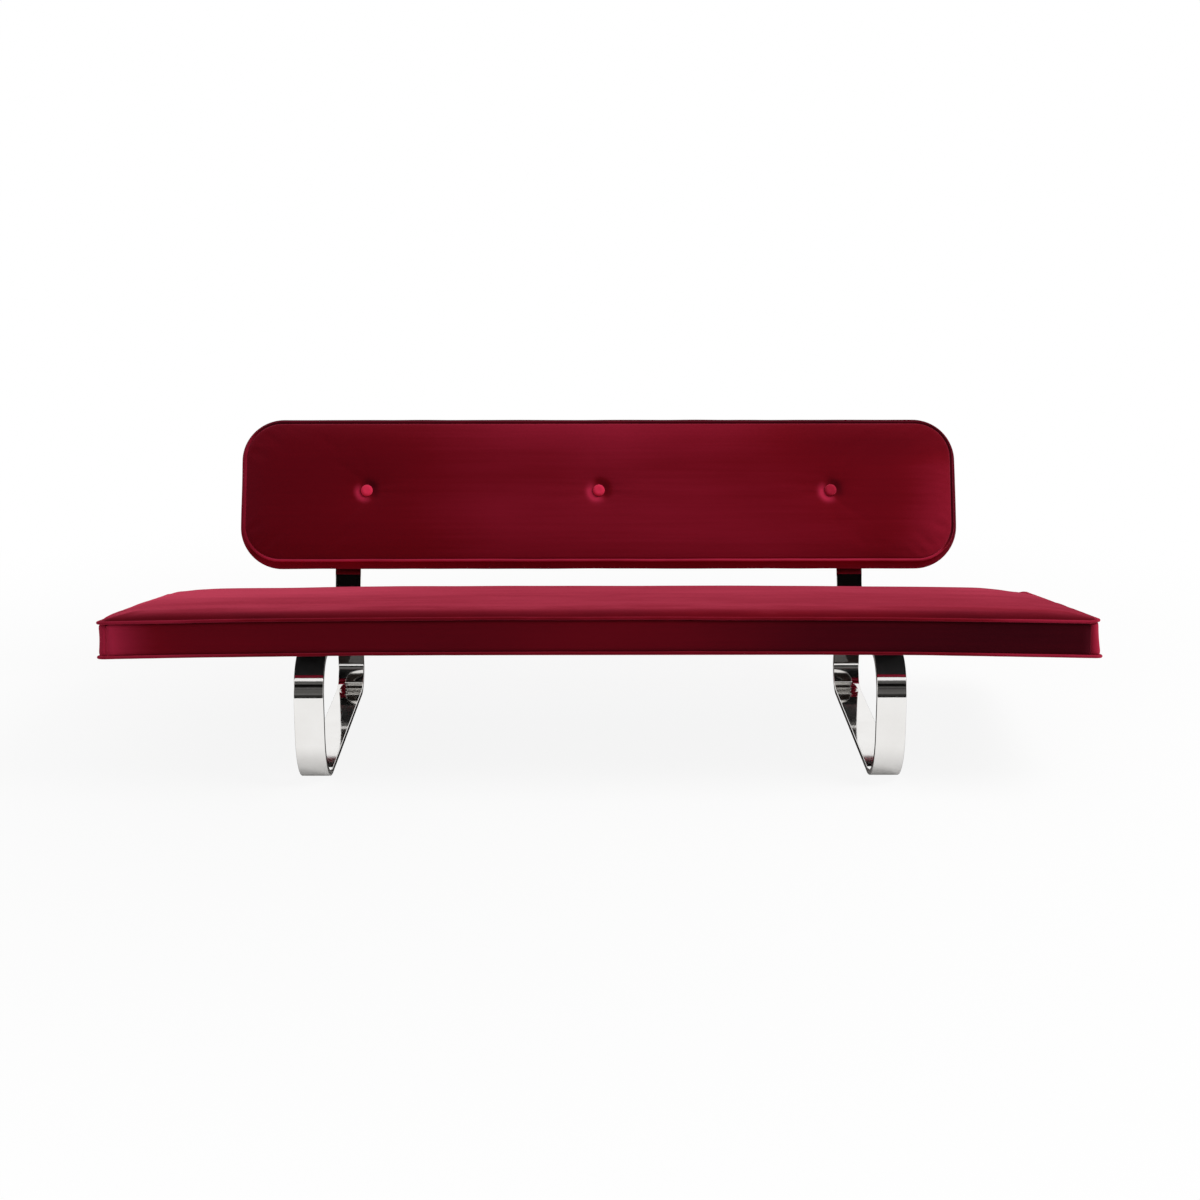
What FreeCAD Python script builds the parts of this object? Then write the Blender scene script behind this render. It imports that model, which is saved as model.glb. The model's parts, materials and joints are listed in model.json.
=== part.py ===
import FreeCAD, Part
import math
import os
import Sketcher

# Low sofa: a boxed velvet seat on two flat bar loops and a tufted back on two uprights.
# Millimetres and degrees. X runs along the sofa, Y to the rear and Z up.
# The origin is on the floor, under the middle of the sofa.

SIZES = (
    # Seat cushion, measured along its slope
    ("seat_width", 2000),
    ("seat_depth", 700),
    ("seat_boxing_height", 72),
    ("seat_crown", 20),
    ("seat_corner_radius", 16),
    ("seat_draw_in", 2),
    ("seat_slope", 9.5),
    ("seat_front_height", 294),
    ("seat_overhang", 24),
    ("seam_offset", 22),
    # Cloth and its edges
    ("cover_thickness", 1.6),
    ("dust_cover_thickness", 1),
    ("piping_diameter", 8),
    ("piping_stand", 1),
    ("fit_gap", 0.3),
    # Leg loops and floor glides
    ("leg_spacing", 1176),
    ("leg_depth", 735),
    ("bar_width", 60),
    ("bar_thickness", 12),
    ("bar_edge_radius", 1.5),
    ("leg_front_lower_radius", 115),
    ("leg_front_upper_radius", 87),
    ("leg_rear_radius", 65),
    ("glide_diameter", 44),
    ("glide_thickness", 2),
    ("glide_front", 160),
    ("glide_rear", 105),
    # Uprights behind the seat
    ("upright_thickness", 10),
    ("upright_gap", 10),
    ("upright_reach", 225),
    ("upright_corner_radius", 12),
    # Back cushion, measured along its recline
    ("back_width", 1636),
    ("back_height", 321),
    ("back_thickness", 80),
    ("back_crown", 18),
    ("back_bulge", 14),
    ("back_corner_radius", 82),
    ("back_recline", 22),
    ("back_rise", 137),
    ("board_thickness", 15),
    ("board_inset", 12),
    # Tufts
    ("button_spacing", 537),
    ("button_diameter", 28),
    ("button_height", 8),
    ("tuft_depth", 11),
    ("tuft_radius", 52),
    ("twine_diameter", 3),
    ("anchor_diameter", 26),
    ("anchor_thickness", 2),
    # Seat frame
    ("rail_width", 30),
    ("rail_height", 30),
    ("rail_wall", 2),
    ("frame_inset", 14),
    ("webbing_width", 60),
    ("webbing_thickness", 2),
    # Fasteners
    ("bolt_diameter", 8),
    ("bolt_clearance", 1),
    ("bolt_head_diameter", 14),
    ("bolt_head_height", 5),
    ("bolt_socket", 5),
    ("washer_diameter", 18),
    ("washer_thickness", 1.6),
    ("nut_diameter", 11),
    ("nut_flange_diameter", 17),
    ("nut_length", 14),
    ("leg_bolt_front", 265),
    ("leg_bolt_pitch", 160),
    ("leg_bolt_room", 40),
    ("back_bolt_low", 60),
    ("back_bolt_pitch", 65),
)
CROSS_STRAPS = 13
LONG_STRAPS = 4
BACK_BOLTS = 3

# A crown rises steeply from its seam and levels out on the way to the cushion's middle.
CROWN_STEPS = 8
CROWN_WAY = 0.62
CROWN_SPREAD = 3
CROWN_LIFT = 0.8
# A boxed side swells out or draws in along a shallow curve.
SIDE_STEPS = 8
# A bolt's head is domed from its flat top to its rim, and a button from its rim to its middle.
BOLT_TOP_SHARE = 0.5
BOLT_RIM_SHARE = 0.3
BUTTON_RIM_SHARE = 0.35

os.makedirs("parts", exist_ok=True)
doc = FreeCAD.newDocument("low_sofa")
sheet = doc.addObject("Spreadsheet::Sheet", "size")
for row, (alias, size) in enumerate(SIZES, start=1):
    sheet.set("A%d" % row, alias.replace("_", " "))
    sheet.set("B%d" % row, str(size))
    sheet.setAlias("B%d" % row, alias)
doc.recompute()

# Places worked out from the sizes
LAYOUT = (
    ("piping_radius", "size.piping_diameter / 2"),
    ("seam_inset", "place.piping_radius - size.piping_stand + size.fit_gap"),
    ("seam_level", "place.piping_radius + size.fit_gap"),
    ("lining_inset", "size.cover_thickness + size.fit_gap"),
    ("front_reach", "size.piping_stand * cos(size.seat_slope) - place.seam_level * sin(size.seat_slope)"
                    " + place.piping_radius"),
    ("back_step", "size.seat_depth + size.upright_gap"),
    ("back_top", "size.back_rise + size.back_height"),
    ("back_middle", "size.back_rise + size.back_height / 2"),
    ("rear_reach", "place.back_step * cos(size.seat_slope)"
                   " + (place.back_top + size.piping_stand) * sin(size.back_recline)"
                   " - place.seam_level * cos(size.back_recline) + place.piping_radius"),
    ("seat_y", "(place.front_reach - place.rear_reach) / 2"),
    ("back_y", "place.seat_y + place.back_step * cos(size.seat_slope)"),
    ("back_z", "size.seat_front_height - place.back_step * sin(size.seat_slope)"),
    ("leg_y", "place.seat_y + size.seat_overhang"),
    ("leg_x", "size.leg_spacing / 2"),
    ("leg_front_rise", "size.seat_front_height - size.seat_overhang * tan(size.seat_slope)"
                       " - size.glide_thickness"),
    ("leg_rear_rise", "place.leg_front_rise - size.leg_depth * tan(size.seat_slope)"),
    ("loop_start", "size.seat_overhang / cos(size.seat_slope)"),
    ("rail_low", "size.dust_cover_thickness"),
    ("rail_top", "place.rail_low + size.rail_height"),
    ("webbing_top", "place.rail_top + 2 * size.webbing_thickness"),
    ("frame_half", "size.seat_width / 2 - size.frame_inset"),
    ("frame_rear", "size.seat_depth - size.frame_inset"),
    ("leg_bolt_end", "place.frame_rear - size.rail_width - size.leg_bolt_room"),
    ("board_rear", "size.cover_thickness"),
    ("board_front", "place.board_rear + size.board_thickness"),
    ("crown_level", "size.back_thickness + size.back_crown"),
    ("tuft_floor", "place.crown_level - size.tuft_depth"),
    ("hole_radius", "(size.bolt_diameter + size.bolt_clearance) / 2"),
    ("bore_radius", "size.bolt_diameter / 2 + size.fit_gap"),
    ("nut_radius", "size.nut_diameter / 2"),
    ("nut_seat_radius", "size.nut_diameter / 2 + size.fit_gap"),
    ("flange_radius", "size.nut_flange_diameter / 2"),
    ("flange_seat_radius", "size.nut_flange_diameter / 2 + size.fit_gap"),
)
place = doc.addObject("App::VarSet", "place")
for name, formula in LAYOUT:
    place.addProperty("App::PropertyFloat", name, "Layout")
    place.setExpression(name, formula)
doc.recompute()

SIDES = (("left", "-1"), ("right", "1"))
# As many leg bolts in a row as fit between the loop's front bend and the seat's rear rail
LEG_BOLTS = 1 + int((place.leg_bolt_end - sheet.leg_bolt_front) // sheet.leg_bolt_pitch)
TUFTS = (("left", "-size.button_spacing"), ("middle", "0"), ("right", "size.button_spacing"))
SEAT = {
    "plane": "XY_Plane",
    "half": "size.seat_width / 2",
    "low": "0",
    "high": "size.seat_depth",
    "radius": "size.seat_corner_radius",
    "middle": "size.seat_depth / 2",
    "growth": 0.7,
}
BACK = {
    "plane": "XZ_Plane",
    "half": "size.back_width / 2",
    "low": "size.back_rise",
    "high": "place.back_top",
    "radius": "size.back_corner_radius",
    "middle": "size.back_height / 2",
    "growth": 0.0,
}
nodes = []


def number(formula):
    """Work out a formula of sizes."""
    value = place.evalExpression(formula)
    return float(getattr(value, "Value", value))


def new_body(name):
    return doc.addObject("PartDesign::Body", name)


def keep(item, label):
    """Name a finished piece, which is written to a file of that name."""
    item.Label = label
    nodes.append(item)
    return item


def new_sketch(body, name, role, level="0"):
    """Start a sketch on one of the body's own planes, raised by a level along its normal."""
    sketch = body.newObject("Sketcher::SketchObject", name)
    plane = [feature for feature in body.Origin.OriginFeatures if feature.Role == role][0]
    sketch.AttachmentSupport = [(plane, "")]
    sketch.MapMode = "FlatFace"
    sketch.setExpression("AttachmentOffset.Base.z", level)
    return sketch


def measured(sketch, kind, formula, *where):
    """Add one dimension to a sketch and tie it to the sizes."""
    index = sketch.addConstraint(Sketcher.Constraint(kind, *where, number(formula)))
    sketch.setExpression("Constraints[%d]" % index, formula)


def pin(sketch, index, end, across, up):
    """Tie one end of a sketch line to the sketch's origin."""
    measured(sketch, "DistanceX", across, -1, 1, index, end)
    measured(sketch, "DistanceY", up, -1, 1, index, end)


def outline(sketch, corners, bends=()):
    """Draw a closed outline through corners.

    A bend turns the line after a corner into an arc, to the left or, with a minus sign, to the right.
    """
    first = sketch.GeometryCount
    count = len(corners)
    points = [FreeCAD.Vector(number(across), number(up), 0) for across, up in corners]
    bends = dict(bends)
    ends = []
    for step, start in enumerate(points):
        stop = points[(step + 1) % count]
        if step in bends:
            radius = number(bends[step])
            chord = stop - start
            square = FreeCAD.Vector(-chord.y, chord.x, 0).normalize()
            sagitta = abs(radius) - math.sqrt(radius ** 2 - chord.Length ** 2 / 4)
            middle = (start + stop) / 2 + square * math.copysign(sagitta, radius)
            sketch.addGeometry(Part.Arc(start, middle, stop))
            start_end = sketch.getPoint(first + step, 1).distanceToPoint(start)
            ends.append((1, 2) if start_end < 1e-6 else (2, 1))
        else:
            sketch.addGeometry(Part.LineSegment(start, stop))
            ends.append((1, 2))
    for step in range(count):
        after = (step + 1) % count
        joint = (first + step, ends[step][1], first + after, ends[after][0])
        sketch.addConstraint(Sketcher.Constraint("Coincident", *joint))
    for step, (across, up) in enumerate(corners):
        pin(sketch, first + step, ends[step][0], across, up)
    for step, radius in bends.items():
        measured(sketch, "Radius", "abs(%s)" % radius, first + step)


def rectangle(sketch, left, low, right, high):
    outline(sketch, ((left, low), (right, low), (right, high), (left, high)))


def rounded_rectangle(sketch, half, low, high, radius):
    """Draw a rectangle with round corners, centred on the sketch's upright axis."""
    right = number(half)
    bottom = number(low)
    top = number(high)
    turn = number(radius)
    normal = FreeCAD.Vector(0, 0, 1)
    corners = (
        (right - turn, bottom + turn, -0.5 * math.pi),
        (right - turn, top - turn, 0.0),
        (turn - right, top - turn, 0.5 * math.pi),
        (turn - right, bottom + turn, math.pi),
    )
    arcs = []
    for across, up, start in corners:
        circle = Part.Circle(FreeCAD.Vector(across, up, 0), normal, turn)
        arcs.append(Part.ArcOfCircle(circle, start, start + 0.5 * math.pi))
    for step, arc in enumerate(arcs):
        sketch.addGeometry(Part.LineSegment(arcs[step - 1].EndPoint, arc.StartPoint))
        sketch.addGeometry(arc)
    for step in range(8):
        sketch.addConstraint(Sketcher.Constraint("Tangent", step, 2, (step + 1) % 8, 1))
    for step in (0, 4):
        sketch.addConstraint(Sketcher.Constraint("Horizontal", step))
        sketch.addConstraint(Sketcher.Constraint("Vertical", step + 2))
    for step in (3, 5, 7):
        sketch.addConstraint(Sketcher.Constraint("Equal", 1, step))
    measured(sketch, "Radius", radius, 1)
    measured(sketch, "DistanceY", low, -1, 1, 0, 1)
    measured(sketch, "DistanceX", half, -1, 1, 2, 1)
    measured(sketch, "DistanceY", high, -1, 1, 4, 1)
    measured(sketch, "DistanceX", "-(%s)" % half, -1, 1, 6, 1)


def panel_outline(sketch, panel, inset, radius=None):
    """Draw a cushion's outline, drawn in from its edge."""
    if radius is None:
        radius = "%s - (%s)" % (panel["radius"], inset)
    half = "%s - (%s)" % (panel["half"], inset)
    low = "%s + (%s)" % (panel["low"], inset)
    high = "%s - (%s)" % (panel["high"], inset)
    rounded_rectangle(sketch, half, low, high, radius)


def round_hole(sketch, across, up, radius):
    centre = FreeCAD.Vector(number(across), number(up), 0)
    index = sketch.addGeometry(Part.Circle(centre, FreeCAD.Vector(0, 0, 1), number(radius)))
    pin(sketch, index, 3, across, up)
    measured(sketch, "Radius", radius, index)


def pad(body, sketch, length):
    feature = body.newObject("PartDesign::Pad", sketch.Name + "_pad")
    feature.Profile = sketch
    feature.setExpression("Length", length)
    return feature


def pocket(body, sketch, depth, flip=False):
    """Cut a sketch into a body, and make sure that it took something away."""
    before = body.Shape.Volume
    feature = body.newObject("PartDesign::Pocket", sketch.Name + "_pocket")
    feature.Profile = sketch
    feature.setExpression("Length", depth)
    feature.Reversed = flip
    doc.recompute()
    if body.Shape.Volume >= before:
        raise RuntimeError("nothing cut by " + sketch.Name)
    return feature


def fillet(body, base, names, radius, name):
    feature = body.newObject("PartDesign::Fillet", name)
    feature.Base = (base, names)
    feature.setExpression("Radius", radius)
    doc.recompute()
    return feature


def edge_at(feature, point):
    """Name the edge whose middle is nearest to a point."""
    reach = [edge.CenterOfMass.distanceToPoint(point) for edge in feature.Shape.Edges]
    return "Edge%d" % (reach.index(min(reach)) + 1)


def side_faces(feature, x):
    """Name the flat faces that close a bar at both of its sides."""
    names = []
    for index, face in enumerate(feature.Shape.Faces, start=1):
        if abs(abs(face.CenterOfMass.x) - x) < 1e-6:
            names.append("Face%d" % index)
    return names


def move(item, x, y, z, turn=0, angle="0"):
    """Place an item by sizes, turned about the X axis: forward with 1, backward with -1."""
    axis = FreeCAD.Vector(turn or 1, 0, 0)
    item.Placement = FreeCAD.Placement(FreeCAD.Vector(), FreeCAD.Rotation(axis, number(angle)))
    item.setExpression("Placement.Base.x", x)
    item.setExpression("Placement.Base.y", y)
    item.setExpression("Placement.Base.z", z)
    if turn:
        item.setExpression("Placement.Rotation.Angle", angle)


def on_seat(item, x="0", along="0", up="0"):
    """Place an item in the seat's frame, whose origin is the middle of the lower front edge."""
    y = "place.seat_y + (%s) * cos(size.seat_slope) + (%s) * sin(size.seat_slope)" % (along, up)
    z = "size.seat_front_height - (%s) * sin(size.seat_slope) + (%s) * cos(size.seat_slope)" % (along, up)
    move(item, x, y, z, -1, "size.seat_slope")
    return item


def on_back(item, x="0", level="0", up="0", facing_front=False):
    """Place an item in the back's frame, on the uprights' front face, level with the loops' top."""
    y = "place.back_y + (%s) * sin(size.back_recline) - (%s) * cos(size.back_recline)" % (up, level)
    z = "place.back_z + (%s) * cos(size.back_recline) + (%s) * sin(size.back_recline)" % (up, level)
    if facing_front:
        move(item, x, y, z, 1, "90 - size.back_recline")
    else:
        move(item, x, y, z, -1, "size.back_recline")
    return item


def turned(name, corners, bends=()):
    """Turn a profile about its own upright axis."""
    body = new_body(name)
    sketch = new_sketch(body, name + "_profile", "XZ_Plane")
    outline(sketch, corners, bends)
    feature = body.newObject("PartDesign::Revolution", name + "_turn")
    feature.Profile = sketch
    feature.ReferenceAxis = (sketch, ["V_Axis"])
    feature.Angle = 360
    return body


def group(label, items):
    """Keep like pieces together as one group of separate solids."""
    item = doc.addObject("Part::Compound", label + "_group")
    item.Links = items
    return keep(item, label)


def cut(name, base, tool):
    feature = doc.addObject("Part::Cut", name)
    feature.Base = base
    feature.Tool = tool
    return feature


def loft(body, name, panel, sections, subtract=False):
    """Skin a solid through cushion outlines, each with its level, inset and corner radius."""
    sketches = []
    for step, (level, inset, radius) in enumerate(sections):
        sketch = new_sketch(body, "%s_section_%d" % (name, step), panel["plane"], level)
        panel_outline(sketch, panel, inset, radius)
        sketches.append(sketch)
    kind = "PartDesign::SubtractiveLoft" if subtract else "PartDesign::AdditiveLoft"
    feature = body.newObject(kind, name)
    feature.Profile = sketches[0]
    feature.Sections = sketches[1:]
    feature.Ruled = True
    return feature


def crown_sections(panel, seam, height, drop):
    """Outlines of a crown over its seam, lowered and drawn in by a drop."""
    sections = []
    for step in range(CROWN_STEPS + 1):
        share = step / CROWN_STEPS
        way = CROWN_WAY * share ** CROWN_SPREAD
        rise = math.sin(0.5 * math.pi * share) ** CROWN_LIFT
        edge = "(place.seam_inset + %s)" % drop
        level = "%s + (%s - %s) * %g" % (seam, height, drop, rise)
        inset = "%s + (%s - %s) * %g" % (edge, panel["middle"], edge, way)
        radius = "(%s - %s + %g * %s) * %g" % (
            panel["radius"], edge, panel["growth"] * way, panel["middle"], 1 - way)
        sections.append((level, inset, radius))
    return sections


def side_sections(low, high, swell, inset):
    """Outlines of a boxed side between two seams, which swells by a depth or draws in by it."""
    sections = []
    for step in range(SIDE_STEPS + 1):
        way = step / SIDE_STEPS
        share = 4 * way * (1 - way)
        level = "%s + (%s - %s) * %g" % (low, high, low, way)
        sections.append((level, "%s - %g * %s" % (inset, share, swell), None))
    return sections


def cushion(name, panel, base, seam, height, swell):
    """Foam that fills a cover: boxed sides clear of both pipings, and a crown on top."""
    body = new_body(name)
    low = "2 * place.seam_level"
    high = "%s - place.seam_level" % seam
    hem = "place.seam_inset + place.lining_inset"
    sides = [(base, hem, None)]
    sides += side_sections(low, high, swell, "place.lining_inset")
    sides += [(seam, hem, None)]
    loft(body, name + "_sides", panel, sides)
    loft(body, name + "_crown", panel, crown_sections(panel, seam, height, "place.lining_inset"))
    return body


def boxing_band(name, panel, seam, swell):
    """Cloth band between the two pipings of a cushion."""
    body = new_body(name)
    low = "2 * place.seam_level"
    high = "%s - place.seam_level" % seam
    loft(body, name + "_face", panel, side_sections(low, high, swell, "0"))
    inner = side_sections(low, high, swell, "size.cover_thickness")
    loft(body, name + "_lining", panel, inner, subtract=True)
    return body


def piping(name, panel, level):
    """Round cord sewn into a seam, standing a little outside the cushion's edge."""
    body = new_body(name)
    path = new_sketch(body, name + "_path", panel["plane"], level)
    panel_outline(path, panel, "-size.piping_stand")
    section = new_sketch(body, name + "_section", "YZ_Plane")
    edge = "%s - size.piping_stand" % panel["low"]
    if panel is SEAT:
        round_hole(section, edge, level, "place.piping_radius")
    else:
        round_hole(section, "-(%s)" % level, edge, "place.piping_radius")
    sweep = body.newObject("PartDesign::AdditivePipe", name + "_sweep")
    sweep.Profile = section
    sweep.Spine = (path, [])
    return body


# Leg loops: one closed flat bar each, flat on the floor and on top along the seat's underside
def leg_loop(side, sign):
    name = "leg_loop_" + side
    body = new_body(name)
    sketch = new_sketch(body, name + "_outline", "YZ_Plane", "-size.bar_width / 2")
    corners = (
        ("0", "0"),
        ("size.leg_depth", "0"),
        ("size.leg_depth", "place.leg_rear_rise"),
        ("0", "place.leg_front_rise"),
    )
    outline(sketch, corners)
    feature = pad(body, sketch, "size.bar_width")
    doc.recompute()
    radii = ("front_lower", "rear", "rear", "front_upper")
    for step, (along, up) in enumerate(corners):
        corner = FreeCAD.Vector(0, number(along), number(up))
        radius = "size.leg_%s_radius" % radii[step]
        feature = fillet(body, feature, [edge_at(feature, corner)], radius, "%s_bend_%d" % (name, step))
    half_width = number("size.bar_width / 2")
    bar = body.newObject("PartDesign::Thickness", name + "_bar")
    bar.Base = (feature, side_faces(feature, half_width))
    bar.setExpression("Value", "size.bar_thickness")
    bar.Reversed = True
    doc.recompute()
    fillet(body, bar, side_faces(bar, half_width), "size.bar_edge_radius", name + "_edges")
    holes = new_sketch(body, name + "_holes", "XY_Plane", "place.leg_front_rise")
    turn = FreeCAD.Rotation(FreeCAD.Vector(-1, 0, 0), number("size.seat_slope"))
    holes.AttachmentOffset = FreeCAD.Placement(FreeCAD.Vector(), turn)
    holes.setExpression("AttachmentOffset.Rotation.Angle", "size.seat_slope")
    for step in range(LEG_BOLTS):
        along = "%s - place.loop_start" % leg_bolt_along(step)
        round_hole(holes, "0", along, "place.hole_radius")
    pocket(body, holes, "size.bar_thickness")
    move(body, "%s * place.leg_x" % sign, "place.leg_y", "size.glide_thickness")
    keep(body, name)


# Uprights: flat bars standing on the loops just behind the seat
def back_upright(side, sign):
    name = "back_upright_" + side
    body = new_body(name)
    sketch = new_sketch(body, name + "_outline", "YZ_Plane", "-size.bar_width / 2")
    top = "size.back_rise + size.upright_reach"
    heel = "size.upright_thickness * tan(size.back_recline - size.seat_slope)"
    outline(sketch, (
        ("0", "0"),
        ("size.upright_thickness", heel),
        ("size.upright_thickness", top),
        ("0", top),
    ))
    bar = pad(body, sketch, "size.bar_width")
    doc.recompute()
    thickness = number("size.upright_thickness")
    height = number(top)
    sides = (number("-size.bar_width / 2"), number("size.bar_width / 2"))
    names = [edge_at(bar, FreeCAD.Vector(x, thickness / 2, height)) for x in sides]
    ends = fillet(body, bar, names, "size.upright_corner_radius", name + "_corners")
    long_edges = []
    for x in sides:
        for y in (0, thickness):
            long_edges.append(edge_at(ends, FreeCAD.Vector(x, y, height / 2)))
    fillet(body, ends, long_edges, "size.bar_edge_radius", name + "_edges")
    holes = new_sketch(body, name + "_holes", "XZ_Plane")
    for step in range(BACK_BOLTS):
        round_hole(holes, "0", back_bolt_height(step), "place.hole_radius")
    pocket(body, holes, "size.upright_thickness")
    on_back(body, "%s * place.leg_x" % sign)
    keep(body, name)


def leg_bolt_along(step):
    return "size.leg_bolt_front + %d * size.leg_bolt_pitch" % step


def back_bolt_height(step):
    return "size.back_rise + size.back_bolt_low + %d * size.back_bolt_pitch" % step


def leg_bolt_places():
    for _, sign in SIDES:
        for step in range(LEG_BOLTS):
            yield "%s * place.leg_x" % sign, leg_bolt_along(step)


def back_bolt_places():
    for _, sign in SIDES:
        for step in range(BACK_BOLTS):
            yield "%s * place.leg_x" % sign, back_bolt_height(step)


# Floor glides: thin pads under each loop
def floor_glides():
    pads = []
    ends = (("front", "size.glide_front"), ("rear", "size.leg_depth - size.glide_rear"))
    for side, sign in SIDES:
        for end, along in ends:
            glide = doc.addObject("Part::Cylinder", "glide_%s_%s" % (end, side))
            glide.setExpression("Radius", "size.glide_diameter / 2")
            glide.setExpression("Height", "size.glide_thickness")
            move(glide, "%s * place.leg_x" % sign, "place.leg_y + %s" % along, "0")
            pads.append(glide)
    group("floor_glides", pads)


# Fasteners: a domed bolt with a hexagon socket, a washer and a flanged nut
def bolt(name, length):
    shank = "size.bolt_diameter / 2"
    head = "size.bolt_head_diameter / 2"
    body = turned(name, (
        ("0", "-size.bolt_head_height"),
        ("%g * %s" % (BOLT_TOP_SHARE, head), "-size.bolt_head_height"),
        (head, "-%g * size.bolt_head_height" % BOLT_RIM_SHARE),
        (head, "0"),
        (shank, "0"),
        (shank, length),
        ("0", length),
    ), {1: "-size.bolt_head_diameter / 2"})
    doc.recompute()
    socket = new_sketch(body, name + "_socket", "XY_Plane", "-size.bolt_head_height")
    reach = "size.bolt_socket / (2 * cos(30))"
    corners = [("%s * cos(%d)" % (reach, 60 * k), "%s * sin(%d)" % (reach, 60 * k)) for k in range(6)]
    outline(socket, corners)
    pocket(body, socket, "size.bolt_head_height / 2", flip=True)
    return body


def ring(name, inner, outer, thickness):
    return turned(name, ((inner, "0"), (outer, "0"), (outer, thickness), (inner, thickness)))


def flanged_nut(name, flange, length):
    return turned(name, (
        ("place.bore_radius", "0"),
        ("place.flange_radius", "0"),
        ("place.flange_radius", flange),
        ("place.nut_radius", flange),
        ("place.nut_radius", length),
        ("place.bore_radius", length),
    ))


def leg_fasteners():
    bolts = []
    washers = []
    nuts = []
    under = "-size.bar_thickness - size.washer_thickness"
    length = "size.bar_thickness + size.washer_thickness + size.nut_length"
    for step, (x, along) in enumerate(leg_bolt_places()):
        bolts.append(on_seat(bolt("leg_bolt_%d" % step, length), x, along, under))
        washer = ring("leg_washer_%d" % step, "place.hole_radius", "size.washer_diameter / 2",
                      "size.washer_thickness")
        washers.append(on_seat(washer, x, along, under))
        nut = flanged_nut("leg_nut_%d" % step, "size.dust_cover_thickness", "size.nut_length")
        nuts.append(on_seat(nut, x, along))
    group("leg_bolts", bolts)
    group("leg_washers", washers)
    group("leg_rivet_nuts", nuts)


def back_fasteners():
    bolts = []
    washers = []
    nuts = []
    flange = "size.washer_thickness"
    behind = "-size.upright_thickness - size.washer_thickness"
    length = "size.washer_thickness + size.upright_thickness + place.board_front - size.fit_gap"
    for step, (x, up) in enumerate(back_bolt_places()):
        bolts.append(on_back(bolt("back_bolt_%d" % step, length), x, behind, up, True))
        washer = ring("back_washer_%d" % step, "place.hole_radius", "size.washer_diameter / 2",
                      "size.washer_thickness")
        washers.append(on_back(washer, x, behind, up, True))
        nut = turned("back_nut_%d" % step, (
            ("place.bore_radius", "-%s" % flange),
            ("place.flange_radius", "-%s" % flange),
            ("place.flange_radius", "0"),
            ("place.bore_radius", "0"),
        ))
        barrel = new_sketch(nut, "back_nut_barrel_%d" % step, "XY_Plane", "-%s" % flange)
        round_hole(barrel, "0", "0", "place.nut_radius")
        round_hole(barrel, "0", "0", "place.bore_radius")
        sleeve = pad(nut, barrel, "size.board_thickness - %s - size.fit_gap" % flange)
        sleeve.Reversed = True
        nuts.append(on_back(nut, x, "place.board_front", up, True))
    group("back_bolts", bolts)
    group("back_washers", washers)
    group("back_tee_nuts", nuts)


# Seat frame: rectangular tube, butted at the corners
def tube(sketch, left, low, right, high):
    rectangle(sketch, left, low, right, high)
    wall = "size.rail_wall"
    rectangle(sketch, "%s + %s" % (left, wall), "%s + %s" % (low, wall),
              "%s - %s" % (right, wall), "%s - %s" % (high, wall))


def long_rail(label, start):
    """Rail along the sofa, from a depth to one rail width behind it."""
    body = new_body(label)
    sketch = new_sketch(body, label + "_section", "YZ_Plane", "-place.frame_half")
    tube(sketch, start, "place.rail_low", "%s + size.rail_width" % start, "place.rail_top")
    pad(body, sketch, "2 * place.frame_half")
    keep(on_seat(body), label)


def short_rail(label, middle, width):
    """Rail from the front rail to the rear rail, centred on a place along the sofa."""
    body = new_body(label)
    sketch = new_sketch(body, label + "_section", "XZ_Plane", "size.rail_width - place.frame_rear")
    left = "%s - %s / 2" % (middle, width)
    right = "%s + %s / 2" % (middle, width)
    tube(sketch, left, "place.rail_low", right, "place.rail_top")
    pad(body, sketch, "place.frame_rear - size.frame_inset - 2 * size.rail_width")
    doc.recompute()
    return on_seat(body)


def seat_frame():
    long_rail("seat_rail_front", "size.frame_inset")
    long_rail("seat_rail_rear", "place.frame_rear - size.rail_width")
    for side, sign in SIDES:
        end = "%s * (place.frame_half - size.rail_width / 2)" % sign
        keep(short_rail("seat_rail_" + side, end, "size.rail_width"), "seat_rail_" + side)
    keep(short_rail("seat_rail_middle", "0", "size.rail_width"), "seat_rail_middle")
    for side, sign in SIDES:
        name = "seat_cross_rail_" + side
        body = short_rail(name, "%s * place.leg_x" % sign, "size.bar_width")
        holes = new_sketch(body, name + "_holes", "XY_Plane")
        for step in range(LEG_BOLTS):
            round_hole(holes, "%s * place.leg_x" % sign, leg_bolt_along(step), "place.nut_seat_radius")
        pocket(body, holes, "place.rail_low + size.rail_wall", flip=True)
        keep(body, name)


# Webbing: straps from front to rear on the frame, and straps along the sofa over them
def seat_webbing():
    straps = []
    for step in range(CROSS_STRAPS):
        strap = doc.addObject("Part::Box", "cross_strap_%d" % step)
        strap.setExpression("Length", "size.webbing_width")
        strap.setExpression("Width", "place.frame_rear - size.frame_inset")
        strap.setExpression("Height", "size.webbing_thickness")
        share = step / (CROSS_STRAPS - 1)
        left = "-place.frame_half + (2 * place.frame_half - size.webbing_width) * %.6f" % share
        straps.append(on_seat(strap, left, "size.frame_inset", "place.rail_top"))
    group("seat_webbing_cross", straps)
    straps = []
    for step in range(LONG_STRAPS):
        strap = doc.addObject("Part::Box", "long_strap_%d" % step)
        strap.setExpression("Length", "2 * place.frame_half")
        strap.setExpression("Width", "size.webbing_width")
        strap.setExpression("Height", "size.webbing_thickness")
        share = (step + 0.5) / LONG_STRAPS
        middle = "size.frame_inset + (place.frame_rear - size.frame_inset) * %g" % share
        along = "%s - size.webbing_width / 2" % middle
        straps.append(on_seat(strap, "-place.frame_half", along, "place.rail_top + size.webbing_thickness"))
    group("seat_webbing_long", straps)


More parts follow.
